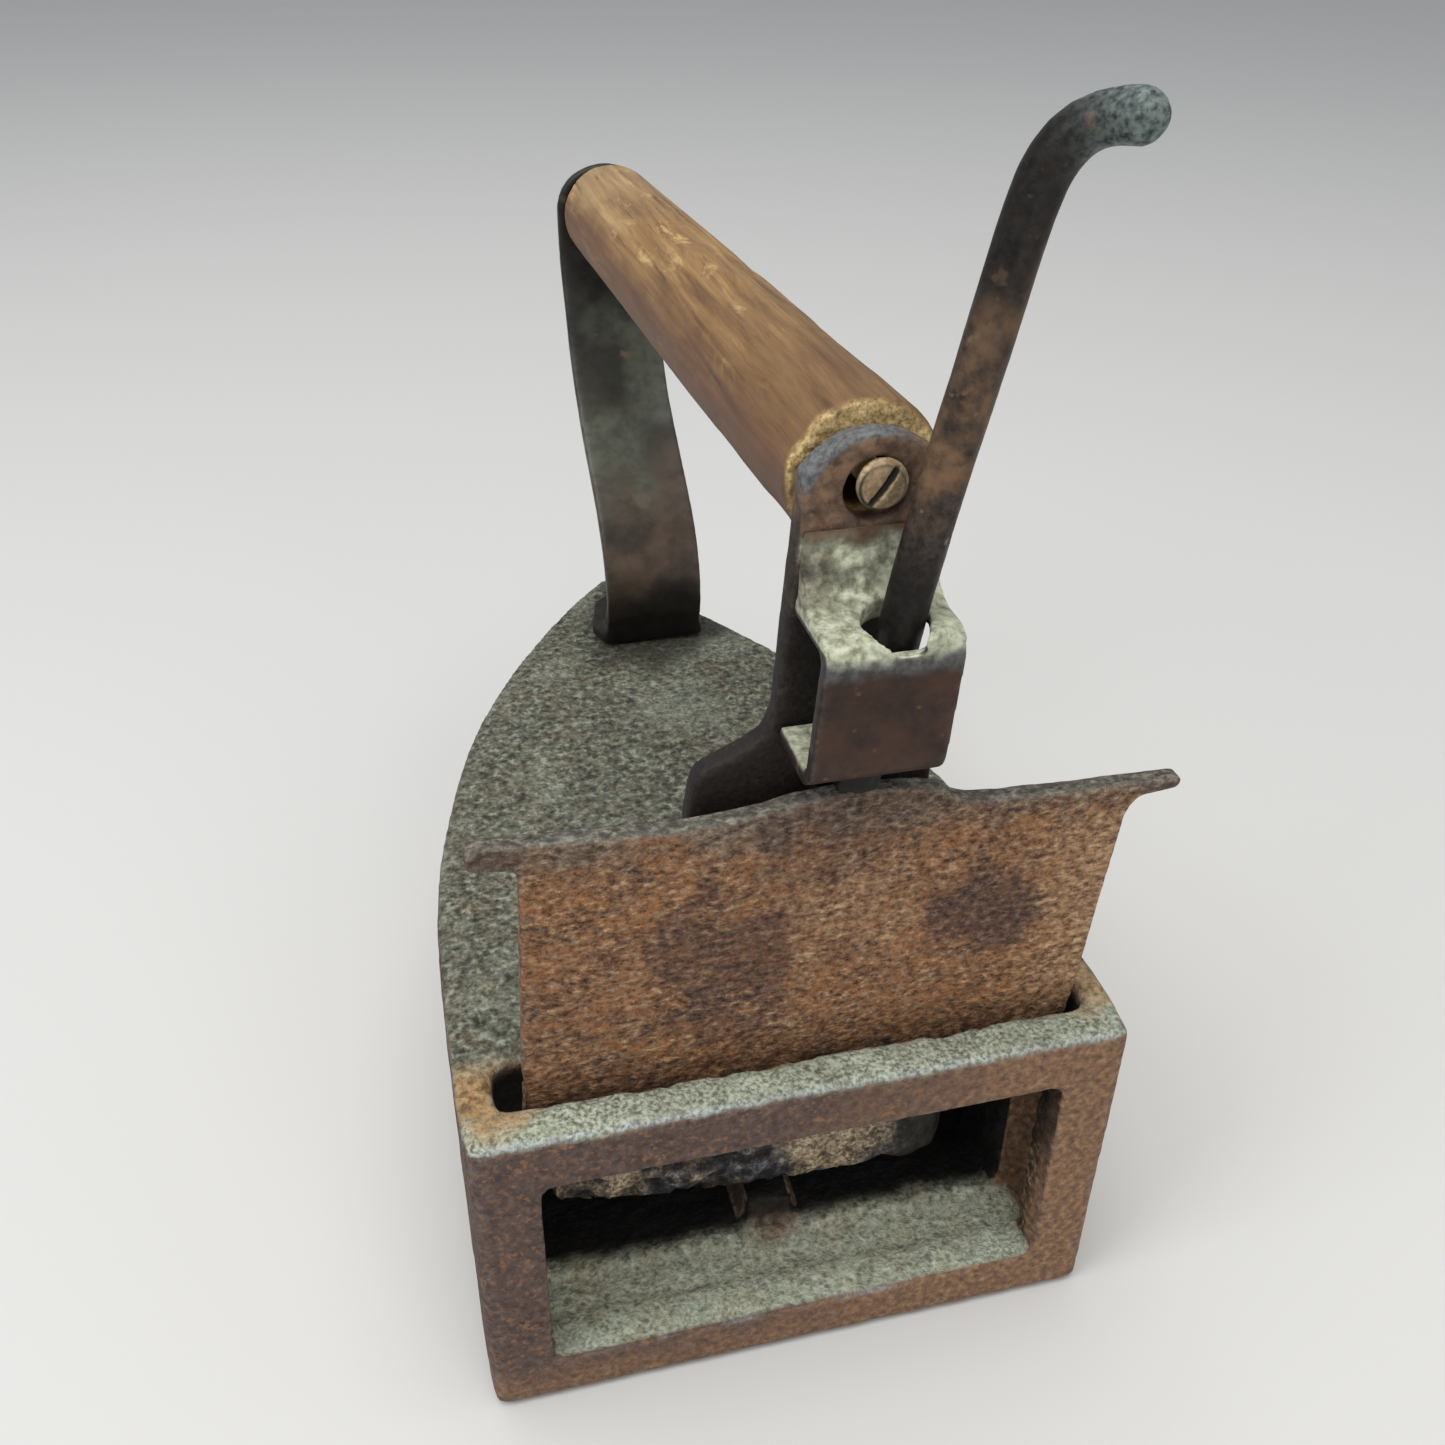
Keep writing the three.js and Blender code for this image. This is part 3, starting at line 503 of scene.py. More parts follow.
def mat_wood():
    m = Mat("worn_wood", 0.0, 0.35)
    streak = m.noise(2.2, 6, 0.68, 0.35, stretch=(1, 0.06, 1), lo=0.34, hi=0.66)
    broad = m.noise(7.0, 3, 0.5, 0.4, stretch=(1, 0.06, 1), lo=0.36, hi=0.64, shift=(9, 2, 4))
    pores = m.noise(0.6, 3, 0.6, stretch=(1, 0.10, 1), lo=0.64, hi=0.72, shift=(3, 3, 3))
    dirt = m.noise(9.0, 4, 0.65, 0.6, stretch=(1, 0.35, 1), lo=0.5, hi=0.68, shift=(7, 1, 4))
    pale = m.noise(5.0, 5, 0.7, 0.5, stretch=(1, 0.3, 1), lo=0.57, hi=0.67, shift=(17, 11, 4))
    c = m.ramp(streak, [(0, (100, 72, 42)), (0.35, (132, 101, 62)), (0.75, (150, 119, 75)), (1, (168, 138, 92))])
    c = m.mix(m.mul(broad, 0.45), c, m.ramp(streak, [(0, (112, 79, 48)), (1, (144, 108, 68))]))
    c = m.mix(m.mul(pores, 0.5), c, lin((78, 57, 38)))
    c = m.mix(m.mul(dirt, 0.35), c, lin((90, 68, 46)))
    c = m.mix(m.mul(pale, 0.75), c, lin((192, 164, 110)))
    lines = m.noise(1.1, 3, 0.6, 0.3, stretch=(1, 0.035, 1), lo=0.57, hi=0.66, shift=(23, 8, 1))
    c = m.mix(m.mul(lines, 0.5), c, lin((92, 66, 42)))
    c = m.mix(m.attr("far"), c, m.ramp(streak, [(0, (140, 114, 80)), (1, (186, 160, 122))]))
    c = m.mix(m.mul(m.attr("near"), 0.8), c, m.ramp(streak, [(0, (80, 56, 36)), (1, (118, 88, 58))]))
    # painted shade: the underside and faces turned to −X are darker and redder
    c = m.mix(m.mul(m.attr("underside_shade"), 0.75), c, m.ramp(streak, [(0, (78, 50, 36)), (1, (116, 80, 60))]))
    fray = m.noise(0.8, 4, 0.7, lo=0.34, hi=0.64)
    c = m.mix(m.attr("rim"), c, m.ramp(fray, [(0, (112, 90, 54)), (0.5, (172, 147, 99)), (1, (212, 190, 140))]))
    c = m.mix(m.mul(m.attr("crack"), 0.6), c, lin((64, 46, 32)))
    h = m.add(m.math("MULTIPLY", streak, 0.5), m.math("MULTIPLY", pores, -0.6), m.math("MULTIPLY", fray, 0.25))
    return m.done(c, m.range(streak, 0, 1, 0.52, 0.68), m.bump(h, 0.35, 0.25))


def mat_screw():
    m = Mat("dull_brass", 0.35, 0.5)
    grain = m.noise(0.9, 4, 0.65, lo=0.36, hi=0.64)
    broad = m.noise(3.0, 3, 0.6, lo=0.4, hi=0.6)
    c = m.ramp(grain, [(0, (110, 90, 62)), (0.5, (152, 132, 98)), (1, (180, 162, 130))])
    c = m.mix(m.mul(broad, 0.5), c, lin((118, 92, 68)))
    # painted shade: near black inside the screw's slot
    c = m.mix(m.attr("slot_shade"), c, lin((22, 17, 13)))
    c = m.mix(m.mul(m.attr("wear"), 0.5), c, lin((190, 174, 146)))
    return m.done(c, m.range(grain, 0, 1, 0.42, 0.66), m.bump(grain, 0.25, 0.15))


# ------------------------------------------------------------------ body casting
def in_cavity(P, N):
    """Points on the walls, floor and soffit of the hollow, and not on the outer skin."""
    yh = P[:, 1] - HEEL_Y
    box = (np.abs(P[:, 0]) < 43.5) & (P[:, 2] > 6.0) & (P[:, 2] < 52.5) & (yh > 0.9) & (yh < 160)
    skin = (N[:, 0] * np.sign(P[:, 0]) > 0.4) & (yh > 20)
    return box & ~skin


def shape_casting(P, N, info):
    yh = P[:, 1] - HEEL_Y
    up = step(0.5, 0.9, N[:, 2]) * step(TOP_Z - 5, TOP_Z - 2, P[:, 2])
    inside = in_cavity(P, N)
    ins = inside.astype(float)
    sand = 0.5 + 0.5 * fbm(P, 2.6, 3, 2, 0.6)
    lump = 0.5 + 0.5 * fbm(P, 9.0, 8, 2)
    wave = 0.5 + 0.5 * noise(P, 38.0, 12)
    d = -(0.22 * sand + 0.12 * lump + 0.16 * wave)
    d -= up * 0.12 * (0.5 + 0.5 * fbm(P, 1.8, 21, 2))
    d -= up * 0.35 * step(0.62, 0.8, 0.5 + 0.5 * fbm(P, 3.0, 23, 2))
    # the cavity's walls and floor are left rough
    d -= ins * (0.25 + 0.35 * fbm(P, 4.5, 31, 3))
    d -= ins * 0.25 * step(0.3, 0.7, fbm(P, 2.4, 33, 2) + 0.3)
    rightwall = ins * step(38.5, 40.5, P[:, 0]) * (N[:, 0] < -0.3)
    d += rightwall * (0.3 - 1.3 * np.abs(fbm(P, 5.0, 41, 3)))
    # worn and chipped edges
    d -= np.clip(info["curv"], 0, 1) * (0.35 + 0.45 * np.clip(fbm(P, 5.0, 51, 2), 0, 1))
    # ragged lips of the gate slot
    lip = (np.abs(yh - (GATE_LO[1] - HEEL_Y)) < 9) & (P[:, 2] > TOP_Z - 6) & (np.abs(P[:, 0]) < 50) & (np.abs(N[:, 1]) > 0.3) & (yh > 5) & (yh < 19)
    d -= lip * 0.8 * np.clip(0.3 + fbm(P, 3.2, 61, 3), 0, 1)
    return d


def masks_casting(P, N, info):
    yh = P[:, 1] - HEEL_Y
    x, z = P[:, 0], P[:, 2]
    n1 = fbm(P, 3.0, 71, 3)
    n2 = fbm(P, 9.0, 73, 3)
    top = step(0.25, 0.75, N[:, 2] + 0.25 * n1) * step(TOP_Z - 3.2, TOP_Z - 1.8, z)
    inside = in_cavity(P, N).astype(float)
    floor = inside * step(0.3, 0.8, N[:, 2] + 0.3 * n1) * (z < 17)
    # painted shade: the cavity floor goes near black from the slug's rear face inward
    slug_back = SLUG_LO[1] - HEEL_Y
    cavity_shade = inside * step(slug_back - 3.2, slug_back + 1.2, yh + 1.4 * n2 + 0.6 * n1)
    # painted shade: the side walls darken upward and inward, the soffit is dark all over
    side = inside * (np.abs(N[:, 0]) > 0.5)
    wall = side * step(2.0, 5.0, yh) * (1 - floor)
    cavity_shade = np.maximum(cavity_shade, side * np.clip(step(7, 17, yh + 3 * n1) + 0.75 * step(24, 40, z + 3 * n1), 0, 1))
    cavity_shade = np.maximum(cavity_shade, inside * (N[:, 2] < -0.3))
    # painted shade down inside the gate slot
    slot = (yh > 6.8) & (yh < 17.2) & (z > 50) & (z < TOP_Z - 1.0) & (np.abs(x) < 49)
    cavity_shade = np.maximum(cavity_shade, slot * step(TOP_Z - 1.0, TOP_Z - 3.0, z + 0.5 * n1))
    cavity_shade = np.clip(cavity_shade, 0, 1)
    near_heel = top * step(9.5, 6.5, yh)
    dust = np.clip(near_heel * (0.85 + 0.5 * n1) * (0.65 + 0.35 * step(46, 10, x)) + top * 0.22 * step(0.0, 0.5, n2), 0, 1)
    corner = step(24, 33, np.abs(x) + 4 * n1) * step(6.6, 4.6, yh + 1.2 * n1) * floor
    dust = np.maximum(dust, corner)
    dust = np.maximum(dust, floor * 0.35 * step(0.1, 0.5, n2))
    orange = near(P, (GATE_LO[0] + 0.5, GATE_LO[1] + 1.0, TOP_Z), 9.5, 5) * top * 0.85
    orange = np.maximum(orange, near(P, (48.2, GATE_LO[1] + 1.5, TOP_Z), 8.0, 6) * top * 0.55)
    orange = np.maximum(orange, 0.7 * step(2.6, 0.8, np.abs(yh - 13.0) - 4.6 + 1.5 * n1) * top * step(0.1, 0.6, np.abs(n2) + 0.2 * n1))
    red = inside * near(P, (-0.5, HEEL_Y + 17.5, 12.0), 6.5, 9) * 0.75 * (1 - 0.5 * cavity_shade)
    red *= (z > 11.5) | (yh > 12)
    line = step(1.5, 0.5, TOP_Z - z) * step(1.7, 0.5, yh) * (0.9 + 0.3 * n1) * (0.7 + 0.3 * step(20, -30, x))
    line = np.maximum(line, 0.5 * step(1.4, 0.4, np.abs(z - 10.0)) * step(1.4, 0.5, yh) * (np.abs(x) < 42) * step(0.0, 0.4, n2))
    warm = (1 - top) * step(-20.0, 30.0, x + 14 * n2 - 0.4 * (z - 20)) * 0.9
    warm = np.maximum(warm, (1 - top) * step(12, 3, z + 5 * n2) * 0.7)
    shadow = near(P, (6.0, STRAP_LO[1] + 9.0, TOP_Z), 21.0, 19, 0.5, 9.0) * top
    dust = np.maximum(dust, floor * 0.5 * step(0.7, 0.2, np.abs(n2)) * (yh < 16))
    return {"top": top, "floor": floor, "cavity_shade": cavity_shade, "dust": dust, "orange": orange * (1 - floor), "red": red * (1 - top), "line": line,
            "wall": wall, "warm": warm, "shadow": shadow,
            "wear": np.clip(info["curv"] * 1.6, 0, 1) * (1 - 0.5 * inside), "hollow": np.clip(-info["curv"] * 1.6, 0, 1) * (1 - 0.7 * floor)}


body = sculpt("v_body_casting", ["body_casting"], "iron", 0.95, shape_casting, masks_casting, smooth=1)
body.data.materials.append(mat_casting())


# ------------------------------------------------------------------ heating slug
def shape_slug(P, N, info):
    x, z = P[:, 0], P[:, 2]
    roughness = step(27.0, 20.0, x + 3 * noise(P, 8, 2))
    lumps = 1.1 * np.abs(fbm(P, 5.0, 3, 3, 0.6)) + 0.45 * (1 - cells(P, 3.6, 7))
    small = 0.5 + 0.5 * fbm(P, 2.2, 9, 2)
    info["roughness"] = roughness
    # scale has fallen away along the lower edge of the rear face
    back = step(SLUG_LO[1] + 9.0, SLUG_LO[1] + 6.0, P[:, 1])
    ragged = back * roughness * step(19.5 + 3.0 * fbm(P, 8.0, 21, 2), 16.0, z)
    d = -(roughness * (1.7 * lumps + 0.45 * small) + (1 - roughness) * 0.25 * small)
    return d - 1.2 * ragged


def masks_slug(P, N, info):
    r = info["roughness"]
    x, z = P[:, 0], P[:, 2]
    n1, n2 = fbm(P, 2.6, 41, 3), fbm(P, 6.5, 43, 3)
    body_x = x + 5 * n2
    left = step(-20.0, -24.0, body_x)
    right = step(0.0, 4.0, body_x)
    tan = r * np.clip(left * step(-0.3, 0.05, n2 + 0.5 * n1) + right * step(-0.45, 0.05, n2 + 0.3 * n1) + 0.7 * step(0.3, 0.5, n2 + 0.3 * n1), 0, 1)
    # painted shade: black along the slug's lower edge; the deepest clefts are blacked too
    cleft = step(0.5, 0.9, -info["disp"] - 0.35 + 0.3 * n1) * 0.75 * r * (1 - 0.5 * right)
    black = np.maximum(step(18.6, 15.6, z + 1.6 * n1 + 2.5 * left) * 0.9, cleft)
    return {"rough": r, "smooth": 1 - r, "tan": tan, "black": black}


slug = sculpt("v_heater_slug", ["heater_slug"], "slug", 0.8, shape_slug, masks_slug, smooth=1)
slug.data.materials.append(mat_slug())


# ------------------------------------------------------------------ gate plate
def shape_gate(P, N, info):
    face = step(0.4, 0.8, np.abs(N[:, 1]))
    d = -(0.10 + 0.16 * (0.5 + 0.5 * fbm(P, 2.4, 4, 2, 0.6)) + 0.18 * (0.5 + 0.5 * fbm(P, 8.0, 6, 2)))
    d -= 0.28 * step(0.45, 0.85, 0.5 + 0.5 * fbm(P, 1.7, 9, 2)) * face
    d -= np.clip(info["curv"], 0, 1) * (0.2 + 0.45 * np.clip(fbm(P, 4.0, 14, 2), 0, 1))
    # rust has eaten the foot of the plate into flakes
    low = step(66.0, 60.5, P[:, 2] + 1.5 * fbm(P, 6.0, 18, 2))
    d -= low * 0.65 * np.clip(0.35 + fbm(P, 2.6, 20, 3), 0, 1)
    return d


def masks_gate(P, N, info):
    n1, n2 = fbm(P, 2.6, 33, 3), fbm(P, 10.0, 35, 3)
    z, x = P[:, 2], P[:, 0]
    top = step(0.15, 0.7, N[:, 2] + 0.3 * n1) * (z > 97)
    lugl = step(GATE_LO[0] + 8.5, GATE_LO[0] + 5.5, x + 1.5 * n1) * step(101, 103, z)
    lugr = step(GATE_HI[0] - 9, GATE_HI[0] - 4, x + 2 * n1) * step(98.5, 100, z)
    top = np.maximum(top, 0.55 * np.maximum(lugl, lugr) * step(-0.2, 0.4, n2 + 0.3))
    band = step(98.0, 104.5, z + 2.2 * n1) * 0.55 * step(-0.35, 0.15, n2)
    top = np.maximum(top, band)
    # painted highlight: pale grey along the rounded top edges turned to −Y
    edge_highlight = np.clip(info["curv"], 0, 1) * step(99, 101, z) * step(0.2, -0.2, N[:, 1])
    purple = near(P, (29.0, GATE_LO[1], 84.5), 11.5, 15, 0.6, 5.0)
    purple = np.maximum(purple, 0.5 * near(P, (4.0, GATE_LO[1], 99.0), 12.0, 16, 0.6, 6.0))
    low = step(68.0, 61.0, z + 3 * n1)
    purple = np.maximum(purple, 0.75 * near(P, (-13.0, GATE_LO[1], 82.0), 15.0, 17, 0.8, 5.0))
    purple = np.maximum(purple, 0.6 * near(P, (-9.5, GATE_LO[1], 68.0), 6.0, 18, 0.8, 4.0))
    lug = np.clip(np.maximum(lugl, lugr) * 0.8 + step(101.5, 104.5, z + 1.5 * n1) * 0.55 * (x > -8), 0, 1) * (1 - 0.7 * step(0.15, 0.7, N[:, 2] + 0.3 * n1))
    bright = step(30.0, 46.0, x + 4 * n2) * step(101, 95, z) * 0.8
    bright = np.maximum(bright, 0.35 * near(P, (6.0, GATE_LO[1], 89.0), 14.0, 23, 0.8, 6.0))
    return {"top": top, "edge_highlight": edge_highlight, "purple": purple, "low": low, "lug": lug, "bright": bright}


# the rivet's rear end is hammered flush and rusted over: a disc fills the plate's countersink
PIN_LO, PIN_HI = mm_box("gate_rivet")
PIN_X, PIN_Z = (PIN_LO[0] + PIN_HI[0]) / 2, (PIN_LO[2] + PIN_HI[2]) / 2


def disc(x, z, y0, y1, r, n=32):
    ring = [(x + r * math.cos(2 * math.pi * k / n), z + r * math.sin(2 * math.pi * k / n)) for k in range(n)]
    v = [(a, y0, b) for a, b in ring] + [(a, y1, b) for a, b in ring]
    f = [tuple(range(n)), tuple(range(2 * n - 1, n - 1, -1))] + [(k, k + n, (k + 1) % n + n, (k + 1) % n) for k in range(n)]
    return v, f


gate = sculpt("v_gate_plate", ["gate_plate"], "gate", 0.5, shape_gate, masks_gate, smooth=1,
              extra=disc(PIN_X, PIN_Z, GATE_LO[1], GATE_LO[1] + 1.3, 4.3))
gate.data.materials.append(mat_gate())


# ------------------------------------------------------------------ lift rod
def shape_rod(P, N, info):
    hammered = 0.5 + 0.5 * noise(P, 5.5, 3)
    tip = step(ROD_HI[0] - 9.0, ROD_HI[0] - 2.0, P[:, 0]) * step(184, 190, P[:, 2])
    d = -(0.10 * hammered + 0.05 * (0.5 + 0.5 * fbm(P, 2.0, 5, 2)))
    d -= tip * 0.45 * np.clip(cells(P, 4.2, 11) - 0.25, 0, 1)
    return d


def masks_rod(P, N, info):
    n1 = fbm(P, 6.0, 5, 3)
    tip = step(ROD_HI[0] - 12.0, ROD_HI[0] - 4.0, P[:, 0] + 1.5 * n1) * step(184, 190, P[:, 2])
    z = P[:, 2]
    brown = step(184.0, 170.0, z + 8 * n1) * step(146.0, 154.0, z + 5 * n1) * (0.85 + 0.5 * n1)
    # painted shade: near black low on the rod where it enters the guide; the upper part, short of the tip, is darkened
    # too
    dark = np.maximum(step(149.0, 140.0, z + 4 * n1), 0.8 * step(170.0, 180.0, z + 6 * n1) * (1 - tip))
    return {"extra": tip, "hot": np.clip(brown, 0, 1), "dark": dark}


rod = sculpt("v_lift_rod", ["lift_rod"], "rod", 0.45, shape_rod, masks_rod, smooth=3)
rod.data.materials.append(mat_iron("smooth_dark_rod", [(22, 20, 19), (35, 31, 29), (50, 43, 38), (62, 51, 41)], 0.22, 0.45, 3.2, 0.18,
                                   hot=[(66, 50, 37), (108, 83, 60)], extra=[(44, 50, 49), (112, 126, 123)], metallic=0.05))


# ------------------------------------------------------------------ upright and guide bracket
def shape_upright(P, N, info):
    d = -(0.10 * (0.5 + 0.5 * fbm(P, 3.0, 4, 3)) + 0.12 * (0.5 + 0.5 * fbm(P, 12.0, 8, 2)))
    d -= np.clip(info["curv"], 0, 1) * 0.25
    return d


def masks_upright(P, N, info):
    n1, n2 = fbm(P, 3.0, 5, 3), fbm(P, 9.0, 15, 2)
    z = P[:, 2]
    lug = step(141.0, 146.0, z + 2 * n1)
    x = P[:, 0]
    # painted highlight: a blue-grey band along the lug's top arc edge
    out = np.hypot(x - 8.7, z - 147.3)
    rim = step(8.45, 9.0, out + 0.2 * n1) * step(148.5, 150.5, z) * (N[:, 1] < 0.4) * step(15, 10, x + 3 * n2) * 0.85
    dust = 0.8 * step(144.6, 142.2, z + 1.2 * n1) * step(139, 141, z) * step(-0.3, -0.7, N[:, 1]) * step(-0.3, 0.2, n1 + 0.2)
    dust = np.maximum(dust, 0.5 * step(0.5, 0.9, N[:, 2]) * step(75, 68, z))
    # painted shade: darker low on the upright behind the gate, below z≈135, and on its faces turned to −X below the lug
    dark = np.maximum(step(139.0, 131.0, z + 2 * n1), step(-0.3, -0.8, N[:, 0]) * step(150, 144, z) * 0.8)
    return {"hot": lug * (1 - rim), "extra": rim, "dust": np.clip(dust, 0, 1) * (1 - dark), "dark": dark * 0.92}


DUST = [(104, 104, 86), (150, 153, 132), (184, 187, 166)]
upright = sculpt("v_rear_upright", ["rear_upright"], "iron", 0.6, shape_upright, masks_upright, smooth=1)
upright.data.materials.append(mat_iron("brown_forged", [(38, 30, 26), (62, 50, 42), (86, 70, 58), (98, 80, 66)], 0.35, 0.72, 2.6, 0.4,
                                       dust=DUST, hot=[(84, 63, 48), (126, 99, 78)], extra=[(74, 77, 80), (112, 116, 119)]))


BEND_Z = BR_HI[2] - 9.3          # top of the upper flange


def shape_bracket(P, N, info):
    x, y, z = P[:, 0], P[:, 1], P[:, 2]
    d = -(0.06 + 0.10 * (0.5 + 0.5 * fbm(P, 7.0, 8, 2)))
    d -= np.clip(info["curv"], 0, 1) * 0.22
    fillet = step(BEND_Z + 0.6, BEND_Z + 2.0, z) * step(0.1, -0.3, N[:, 1])
    d -= fillet * 0.8 * (0.5 + 0.5 * fbm(P, 2.6, 12, 3, 0.6))
    move = N * d[:, None]
    # the brazed fillet thins out to nothing at its sides and along a ragged top edge
    mid = (BR_LO[0] + BR_HI[0]) / 2 + 0.075 * (z - 124.0) - 0.3
    half = 9.5
    ragged = BR_HI[2] - 1.2 + 2.2 * fbm(P * np.array([1, 0, 0.3]), 4.0, 14, 3)
    thin = np.maximum(step(ragged - 3.0, ragged + 0.4, z), step(half - 2.2, half - 0.1, np.abs(x - mid)) * step(BEND_Z + 1.6, BEND_Z + 4.0, z))
    info["bare"] = step(ragged - 1.2, ragged + 1.4, z + 0.8 * fbm(P, 2.0, 15, 2))
    info["thin"] = thin
    move[:, 1] += thin * np.clip(BR_HI[1] - y - 0.05, 0, 3.5) * 0.93
    return move


def masks_bracket(P, N, info):
    x, y, z = P[:, 0], P[:, 1], P[:, 2]
    n1, n2 = fbm(P, 2.2, 5, 3), fbm(P, 5.0, 7, 3)
    up = step(0.1, 0.65, N[:, 2] + 0.25 * n1)
    fillet = step(BEND_Z - 0.5, BEND_Z + 1.0, z + 0.6 * n1)
    lumps = 0.45 + 0.55 * step(-0.25, 0.2, n2 + 0.35 * n1)
    # a brown, bare ledge half way up
    lumps *= 1 - 0.55 * step(2.0, 0.8, np.abs(z - BEND_Z - 3.4 + 1.2 * n2)) * step(-0.35, 0.1, n1 + 0.25 * n2) * step(BR_HI[0] - 6.0, BR_HI[0] - 11.0, x)
    bend = step(BEND_Z - 3.6, BEND_Z - 1.5, z + 0.7 * n1)
    dust = np.maximum(up * 0.95, bend * (1 - fillet) * 0.85)
    dust = dust * (1 - fillet) + fillet * lumps * (1 - info["bare"])
    # painted shade: faces turned to +Y below the bend, inside the guide, go near black; faces turned to −X are darkened
    # too
    inside = (N[:, 1] > 0.4) & (z < BEND_Z - 1)
    glow = step(BEND_Z - 3.5, BEND_Z - 6, z + 1.5 * n1) * (1 - up)
    sheen = np.clip(step(2.4, 0.6, np.abs(z - (BEND_Z - 3.3)) + 0.8 * n1), 0, 1) * (N[:, 1] < 0.2)
    dark = np.maximum(inside * 0.95, step(-0.4, -0.85, N[:, 0]) * (z < BEND_Z - 1.5) * 0.7)
    return {"dust": np.clip(dust * (1 - dark), 0, 1), "hot": glow * 0.8, "extra": sheen * 0.75, "dark": dark * (1 - up), "lug": info["bare"] * fillet}


def lip(cx, cy, z0, z1, r_hole, depth, a0, a1, n=18):
    """A crescent on the inside of the upper hole, deepest in its middle."""
    inner, outer = [], []
    for k in range(n + 1):
        t = k / n
        a = math.radians(a0 + (a1 - a0) * t)
        r = r_hole + 0.3 - (depth + 0.3) * math.sin(math.pi * t) ** 0.8
        inner.append((cx + r * math.cos(a), cy + r * math.sin(a)))
        outer.append((cx + (r_hole + 1.0) * math.cos(a), cy + (r_hole + 1.0) * math.sin(a)))
    ring = outer + inner[::-1]
    m = len(ring)
    v = [(a, b, z0) for a, b in ring] + [(a, b, z1) for a, b in ring]
    f = [(i, i + 1, 2 * n - i, 2 * n + 1 - i) for i in range(n)]
    low = [tuple(reversed(q)) for q in f]
    high = [tuple(i + m for i in q) for q in f]
    return v, low + high + [(i, (i + 1) % m, (i + 1) % m + m, i + m) for i in range(m)]


bracket = sculpt("v_guide_bracket", ["guide_bracket"], "iron", 0.38, shape_bracket, masks_bracket, smooth=2,
                 extra=lip(9.7, HEEL_Y + 8.35, BEND_Z - 2.35, BEND_Z - 0.05, 4.85, 1.15, -72.0, 28.0))
bracket.data.materials.append(mat_iron("guide_strip", [(30, 20, 16), (45, 31, 25), (57, 40, 31), (50, 37, 29)], 0.25, 0.5, 4.2, 0.16,
                                       dust=[(126, 128, 106), (166, 170, 147), (194, 198, 176)], hot=[(46, 31, 25), (64, 42, 31)], extra=[(60, 62, 64), (92, 94, 94)]))


# ------------------------------------------------------------------ grip
def shape_grip(P, N, info):
    y = P[:, 1]
    along = np.array([1.0, 0.05, 1.0])
    grooves = fbm(P * along, 1.6, 3, 2)
    d = -(0.05 + 0.10 * (0.5 + 0.5 * grooves) + 0.14 * (0.5 + 0.5 * noise(P, 26.0, 8)))
    dents = step(0.55, 0.8, 0.5 + 0.5 * fbm(P * np.array([1, 0.35, 1]), 5.0, 9, 2))
    d -= 0.22 * dents
    crack = step(0.06, 0.0, np.abs(fbm(P * np.array([1, 0.03, 1]), 4.0, 13, 2))) * step(0.1, 0.4, noise(P, 18.0, 14))
    info["crack"] = crack
    d -= 0.18 * crack
    # the rear rim is frayed by the upright
    rim = step(GRIP_LO[1] + 1.5, GRIP_LO[1] + 0.6, y + 0.6 * fbm(P, 2.5, 15, 2))
    info["rim"] = rim
    d -= rim * (0.15 + 0.45 * np.clip(0.4 + fbm(P, 1.4, 17, 3), 0, 1))
    front = step(GRIP_HI[1] - 2.5, GRIP_HI[1] - 0.4, y)
    d -= front * 0.4 * (0.5 + 0.5 * fbm(P, 3.0, 19, 2))
    return d


def masks_grip(P, N, info):
    n1 = fbm(P, 7.0, 5, 3)
    # painted shade on the underside and the faces turned to −X
    underside_shade = step(0.35, -0.35, N[:, 2] + 0.45 * N[:, 0] + 0.25 * n1)
    near_end = step(GRIP_LO[1] + 70.0, GRIP_LO[1] + 12.0, P[:, 1] + 9 * n1)
    far_end = step(GRIP_HI[1] - 60.0, GRIP_HI[1] - 15.0, P[:, 1] + 9 * n1) * (1 - underside_shade)
    return {"far": far_end * 0.45, "rim": info["rim"] * (0.35 + 0.65 * step(146, 151, P[:, 2] + 2 * n1)), "crack": info["crack"], "underside_shade": underside_shade, "near": near_end * (1 - info["rim"])}


grip = sculpt("v_grip", ["grip"], "iron", 0.6, shape_grip, masks_grip, smooth=1)
grip.data.materials.append(mat_wood())


# ------------------------------------------------------------------ bolt, nut, strap and rivets
def shape_small(amount, size=1.6, seed=3):
    def f(P, N, info):
        d = -amount * (0.5 + 0.5 * fbm(P, size, seed, 3))
        return d - np.clip(info["curv"], 0, 1) * amount * 1.2
    return f


def masks_bolt(P, N, info):
    # painted shade inside the head's slot, on points set back from its face
    behind = P[:, 1] - info["lo"][1]
    return {"slot_shade": np.clip(step(0.35, 0.6, behind) * (P[:, 1] < info["lo"][1] + 1.2) * step(3.25, 3.0, np.hypot(P[:, 0] - BOLT_X, P[:, 2] - BOLT_Z)), 0, 1)}


BOLT_C = np.array([v.co for v in NODES["handle_bolt"].data.vertices]) * 1000.0
BOLT_C = BOLT_C[BOLT_C[:, 1] < BOLT_C[:, 1].min() + 0.9]
BOLT_X, BOLT_Z = ((BOLT_C.max(0) + BOLT_C.min(0)) / 2)[[0, 2]]
bolt = sculpt("v_handle_bolt", ["handle_bolt"], "iron", 0.2, shape_small(0.06, 1.2, 4), masks_bolt, smooth=0, shrinkless=1)
bolt.data.materials.append(mat_screw())


def shape_strap(P, N, info):
    d = -(0.05 + 0.10 * (0.5 + 0.5 * fbm(P, 9.0, 8, 2)) + 0.05 * (0.5 + 0.5 * fbm(P, 2.5, 9, 2)))
    move = N * (d - np.clip(info["curv"], 0, 1) * 0.3)[:, None]
    move[:, 2] -= 0.10 * np.clip(P[:, 2] - (STRAP_HI[2] - 9.0), 0, 20)      # its top is hammered round
    return move


